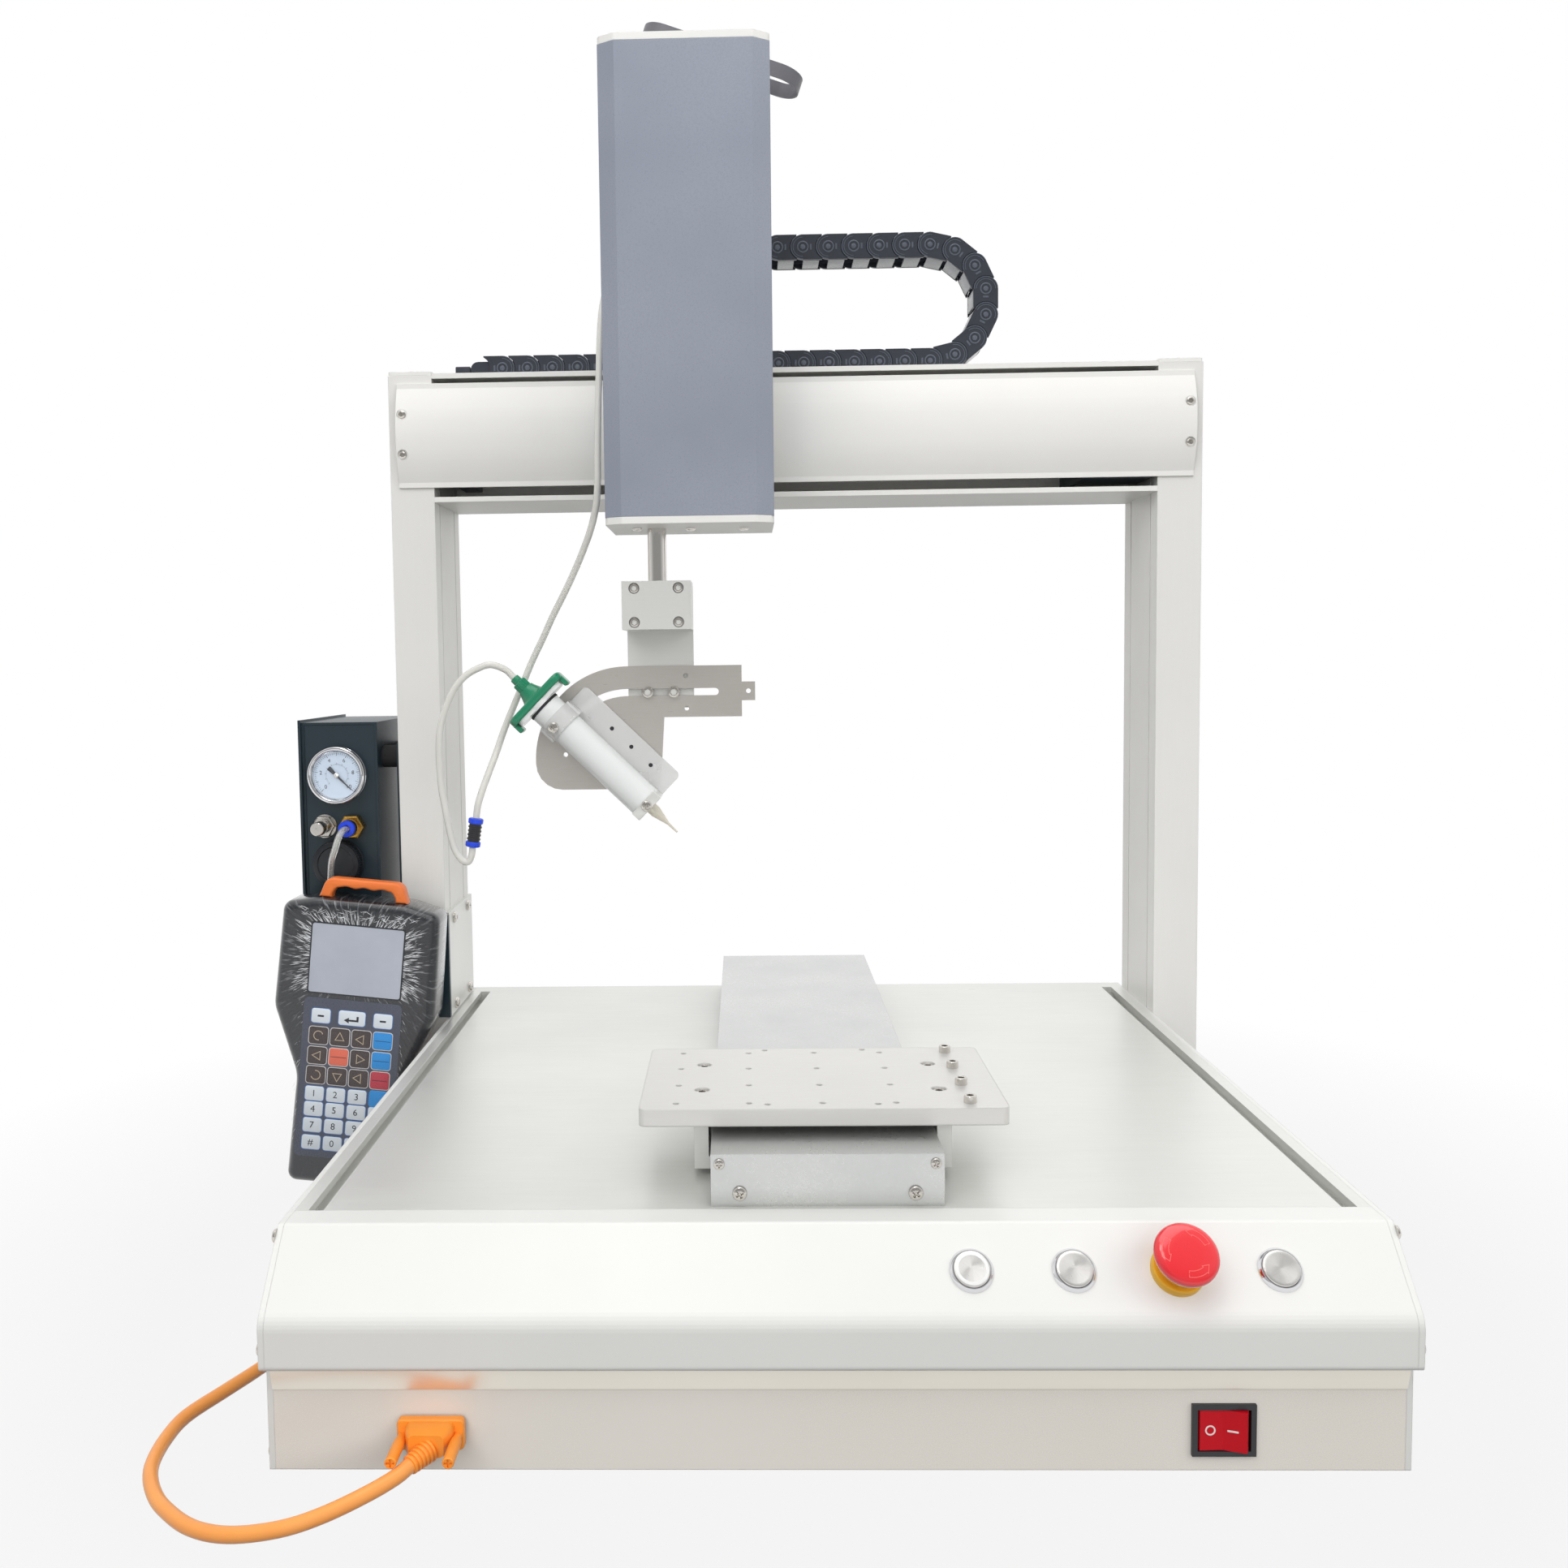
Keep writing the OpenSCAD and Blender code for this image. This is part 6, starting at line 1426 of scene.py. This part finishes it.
screwPlaces = {
    "sides": (280, [(-239, 120), (-266, 75), (-254, 17), (265, 17), (265, 119)]),
    "cover": (302, 160.3, (569, 600)),
    "columnTop": (297, 176, 634),
    "yCover": (-216, [(56.0, 147.5, 2.9), (45.5, 132, 3.9)]),
    "bracket": [(-277, y, z) for z in (133, 203) for y in (186, 240)],
    "plateTall": [(80, y, 166.5) for y in (-176, -144, -112, -80)],
    "plateSunk": [(s * 66.5, -128 + t * 24, 161.5) for s in (-1, 1) for t in (-1, 1)],
    "clamp": [(-103 + s * 16, 89.2, z) for s in (-1, 1) for z in (435.7, 460.3)],
    "arcSlot": [(-112.5, 122, 384.3), (-93, 122, 384.3)],
    "endPlate": [(-117, 100, 504.5), (-78, 104, 504.5), (-39, 108, 504.5)],
    "holder": [(0, -13.6, 30.4), (-5, -13.6, 119)],  # in the syringe's own frame
}
syringeHome = spot(-91, 103, 280.8, turned("Y", -45.8))


def makeScrews(places):
    head = crossHead(screwSizes)
    left, right, front, up, down = (-1, 0, 0), (1, 0, 0), (0, -1, 0), (0, 0, 1), (0, 0, -1)

    def seats(kind, direction, twist, share):
        return [(mm(*point), facing(direction, twist * i), share) for i, point in enumerate(places[kind])]

    fixed = []
    x, points = places["sides"]
    for y, z in points:
        fixed += [(mm(-x, y, z), facing(left, y), 1.0), (mm(x, y, z), facing(right, y), 1.0)]
    for s in (-1, 1):
        x, y, heights = places["cover"]
        fixed += [(mm(s * x, y, z), facing(front, z), 0.9) for z in heights]
        x, y, z = places["columnTop"]
        fixed.append((mm(s * x, y, z), facing(up, 0.4 * s), 0.86))
        y, points = places["yCover"]
        fixed += [(mm(s * x, y, z), facing(front, x + s), r / screwSizes["head"]) for x, z, r in points]
    fixed += [(mm(x, y, z), facing(right, y), 1.3) for x, y, z in places["bracket"]]
    repeatPiece("caseScrews", head, fixed, "screwSteel", "frame", ["case_screws"])
    stands = seats("plateTall", up, 0.3, 1.0) + seats("plateSunk", up, 0.5, 1.05)
    repeatPiece("plateScrews", socketHead(3.5, 4.0), stands, "screwSteel", "stage",
                ["plate_screws"])
    bolts = seats("clamp", front, 0.4, 1.0) + seats("arcSlot", front, 0.7, 1.22)
    repeatPiece("toolBolts", socketHead(3.45, 3.1), bolts, "screwSteel", "tool")
    clips = [(syringeHome @ Vector(p), facing(front, 0.6 * i), 1.15) for i, p in enumerate(places["holder"])]
    repeatPiece("holderScrews", head, clips, "screwSteel", "tool")
    under = seats("endPlate", down, 0.5, 1.0)
    repeatPiece("endPlateScrews", head, under, "screwSteel", "x_carriage")


makeScrews(screwPlaces)

# Syringe: clear holder plate, strap, nose clamp, seal and green cap

syringeParts = {
    "radius": 12.62,
    "plate": (-12, 27, 31, 125, 4.0), "plateDepth": (16, 19), "holes": [(21, 48.5), (21, 68.5), (21, 88.5)],
    "hole": 1.6,
    "strap": (13.6, 112.5, 125.5), "block": (15.0, 16.0),
    "nose": (-11.5, -13.6, 26.6, 11.5, 16.0, 34.2),
    "seal": (12.55, 12.95, 134.2, 136.2),
    "wings": (26.0, 13.0, 8.0), "wingEdges": [(140, 1.2), (140.5, 0.4), (141.4, 0), (144.4, 0), (145.5, 0.6),
            (146, 1.8)],
    "lugs": (22.2, 26.0, 7.0, 133.8, 143.0),
    "stem": [(0, 145.5), (11.0, 145.5), (9.6, 146.4), (8.6, 148.2), (7.2, 151.5), (6.2, 154.4), (0, 154.4)],
    "nut": (5.4, 0.45, 154.2, 161.4), "spout": [(0, 161), (3.7, 161), (3.6, 165.4), (3.2, 166), (0, 166)],
}


def pierced(bm, outline, holes, radius, low, high, place):  # plate with round holes
    loops = [outline]
    loops += [[(x + radius * math.cos(a), y + radius * math.sin(a)) for a in circle(20)] for x, y in holes]
    caps = []
    for height in (low, high):
        rings = [[bm.verts.new(place @ Vector((x, y, height))) for x, y in loop] for loop in loops]
        edges = [bm.edges.new((ring[i - 1], ring[i])) for ring in rings for i in range(len(ring))]
        bmesh.ops.triangle_fill(bm, use_beauty=True, edges=edges)
        caps.append(rings)
    for first, second in zip(*caps):
        bridge(bm, first, second)


def makeSyringe(size):
    place = syringeHome
    upright = place @ swapYZ
    bm = bmesh.new()
    pierced(bm, roundRect(*size["plate"]), size["holes"], size["hole"], *size["plateDepth"], upright)
    r, (outer, low, high), (half, back) = size["radius"], size["strap"], size["block"]
    arc = arcTurns(0, math.pi, 24)
    rear = [(-half, 0.1)] + [(r * math.cos(a), r * math.sin(a) + 0.1) for a in reversed(arc)] + [(half, 0.1)]
    loft(bm, [(rear + [(half, back), (-half, back)], z) for z in (low, high)], place)
    shapePiece("holderPlate", bm, "acrylicPlate", "tool", ["syringe_holder"])
    bm = bmesh.new()
    near, far = size["plateDepth"]
    q = size["hole"] - 0.05
    for x, z in size["holes"]:
        lathe(bm, [(0, near + 0.4), (q, near + 0.4), (q, far - 0.2), (0, far - 0.2)],
              upright @ moved(x, z, 0), 20)
    shapePiece("setScrews", bm, "blackPlastic", "tool")
    bm = bmesh.new()
    bow = [(outer * math.cos(a), -outer * math.sin(a)) for a in reversed(arc[1:-1])]
    front = [(-half, 0), (-half, -1.1)] + bow + [(half, -1.1), (half, 0)]
    front += [(r * math.cos(a), -r * math.sin(a)) for a in arc]
    loft(bm, [(front, low), (front, high)], place)
    shapePiece("barrelStrap", bm, "acrylicPlate", "tool")
    bm = bmesh.new()
    x0, y0, z0, x1, y1, z1 = size["nose"]
    middle = (y0 + y1) / 2
    block(bm, (x0, y0, z0), (x1, middle - 2, z1), 0.6, place)
    block(bm, (x0, middle - 1, z0), (x1, y1, z1), 0.6, place)
    shapePiece("noseClamp", bm, "plainAluminium", "tool")
    inner, outer, low, high = size["seal"]
    turnedPiece("barrelSeal", [(inner, low), (outer - 0.1, low), (outer, low + 0.4), (outer, high - 0.4),
                               (outer - 0.1, high), (inner, high)], place, 48, "blackRubber", "tool",
                ring=True)

    bm = bmesh.new()
    w, d, corner = size["wings"]
    outline = roundRect(-w, -d, w, d, corner)
    loft(bm, layered(outline, size["wingEdges"]), place)
    x0, x1, y, z0, z1 = size["lugs"]
    for s in (-1, 1):
        low, high = sorted((s * x0, s * x1))
        block(bm, (low, -y, z0), (high, y, z1), 1.2, place, 3)
    lathe(bm, size["stem"], place, 40)
    radius, groove, low, high = size["nut"]
    ribs = [(radius - groove * (k % 2), 2 * math.pi * k / 40) for k in range(40)]
    prism(bm, [polar(q, a) for q, a in ribs], low, high, place, 0.5)
    lathe(bm, size["spout"], place, 24)
    shapePiece("adapterCap", bm, "greenPlastic", "tool", ["syringe_adapter"], sharp=40)


makeSyringe(syringeParts)

# Polished fold along the top of the front wall, under the lip of the console

wallFold = {"half": 277.0, "outline": [(-260.0, 51.2), (-260.9, 51.5), (-261.3, 52.4), (-264.0, 62.6),
                                       (-264.0, 64.9), (-260.0, 64.9)]}
addFinish("foldCream", (246, 242, 231), (240, 234, 221), 0.32, 0.01, metal=0.6, grain=300,
          stretch=(0.05, 1, 1), depth=0.000001, strength=0.02)
bm = bmesh.new()
alongX = milli @ Matrix(((0, 0, 1, 0), (1, 0, 0, 0), (0, 1, 0, 0), (0, 0, 0, 1)))
prism(bm, wallFold["outline"], -wallFold["half"], wallFold["half"], alongX)
shapePiece("wallFold", bm, "foldCream", "frame")
print("fasteners made")


# The end

print("scene built")
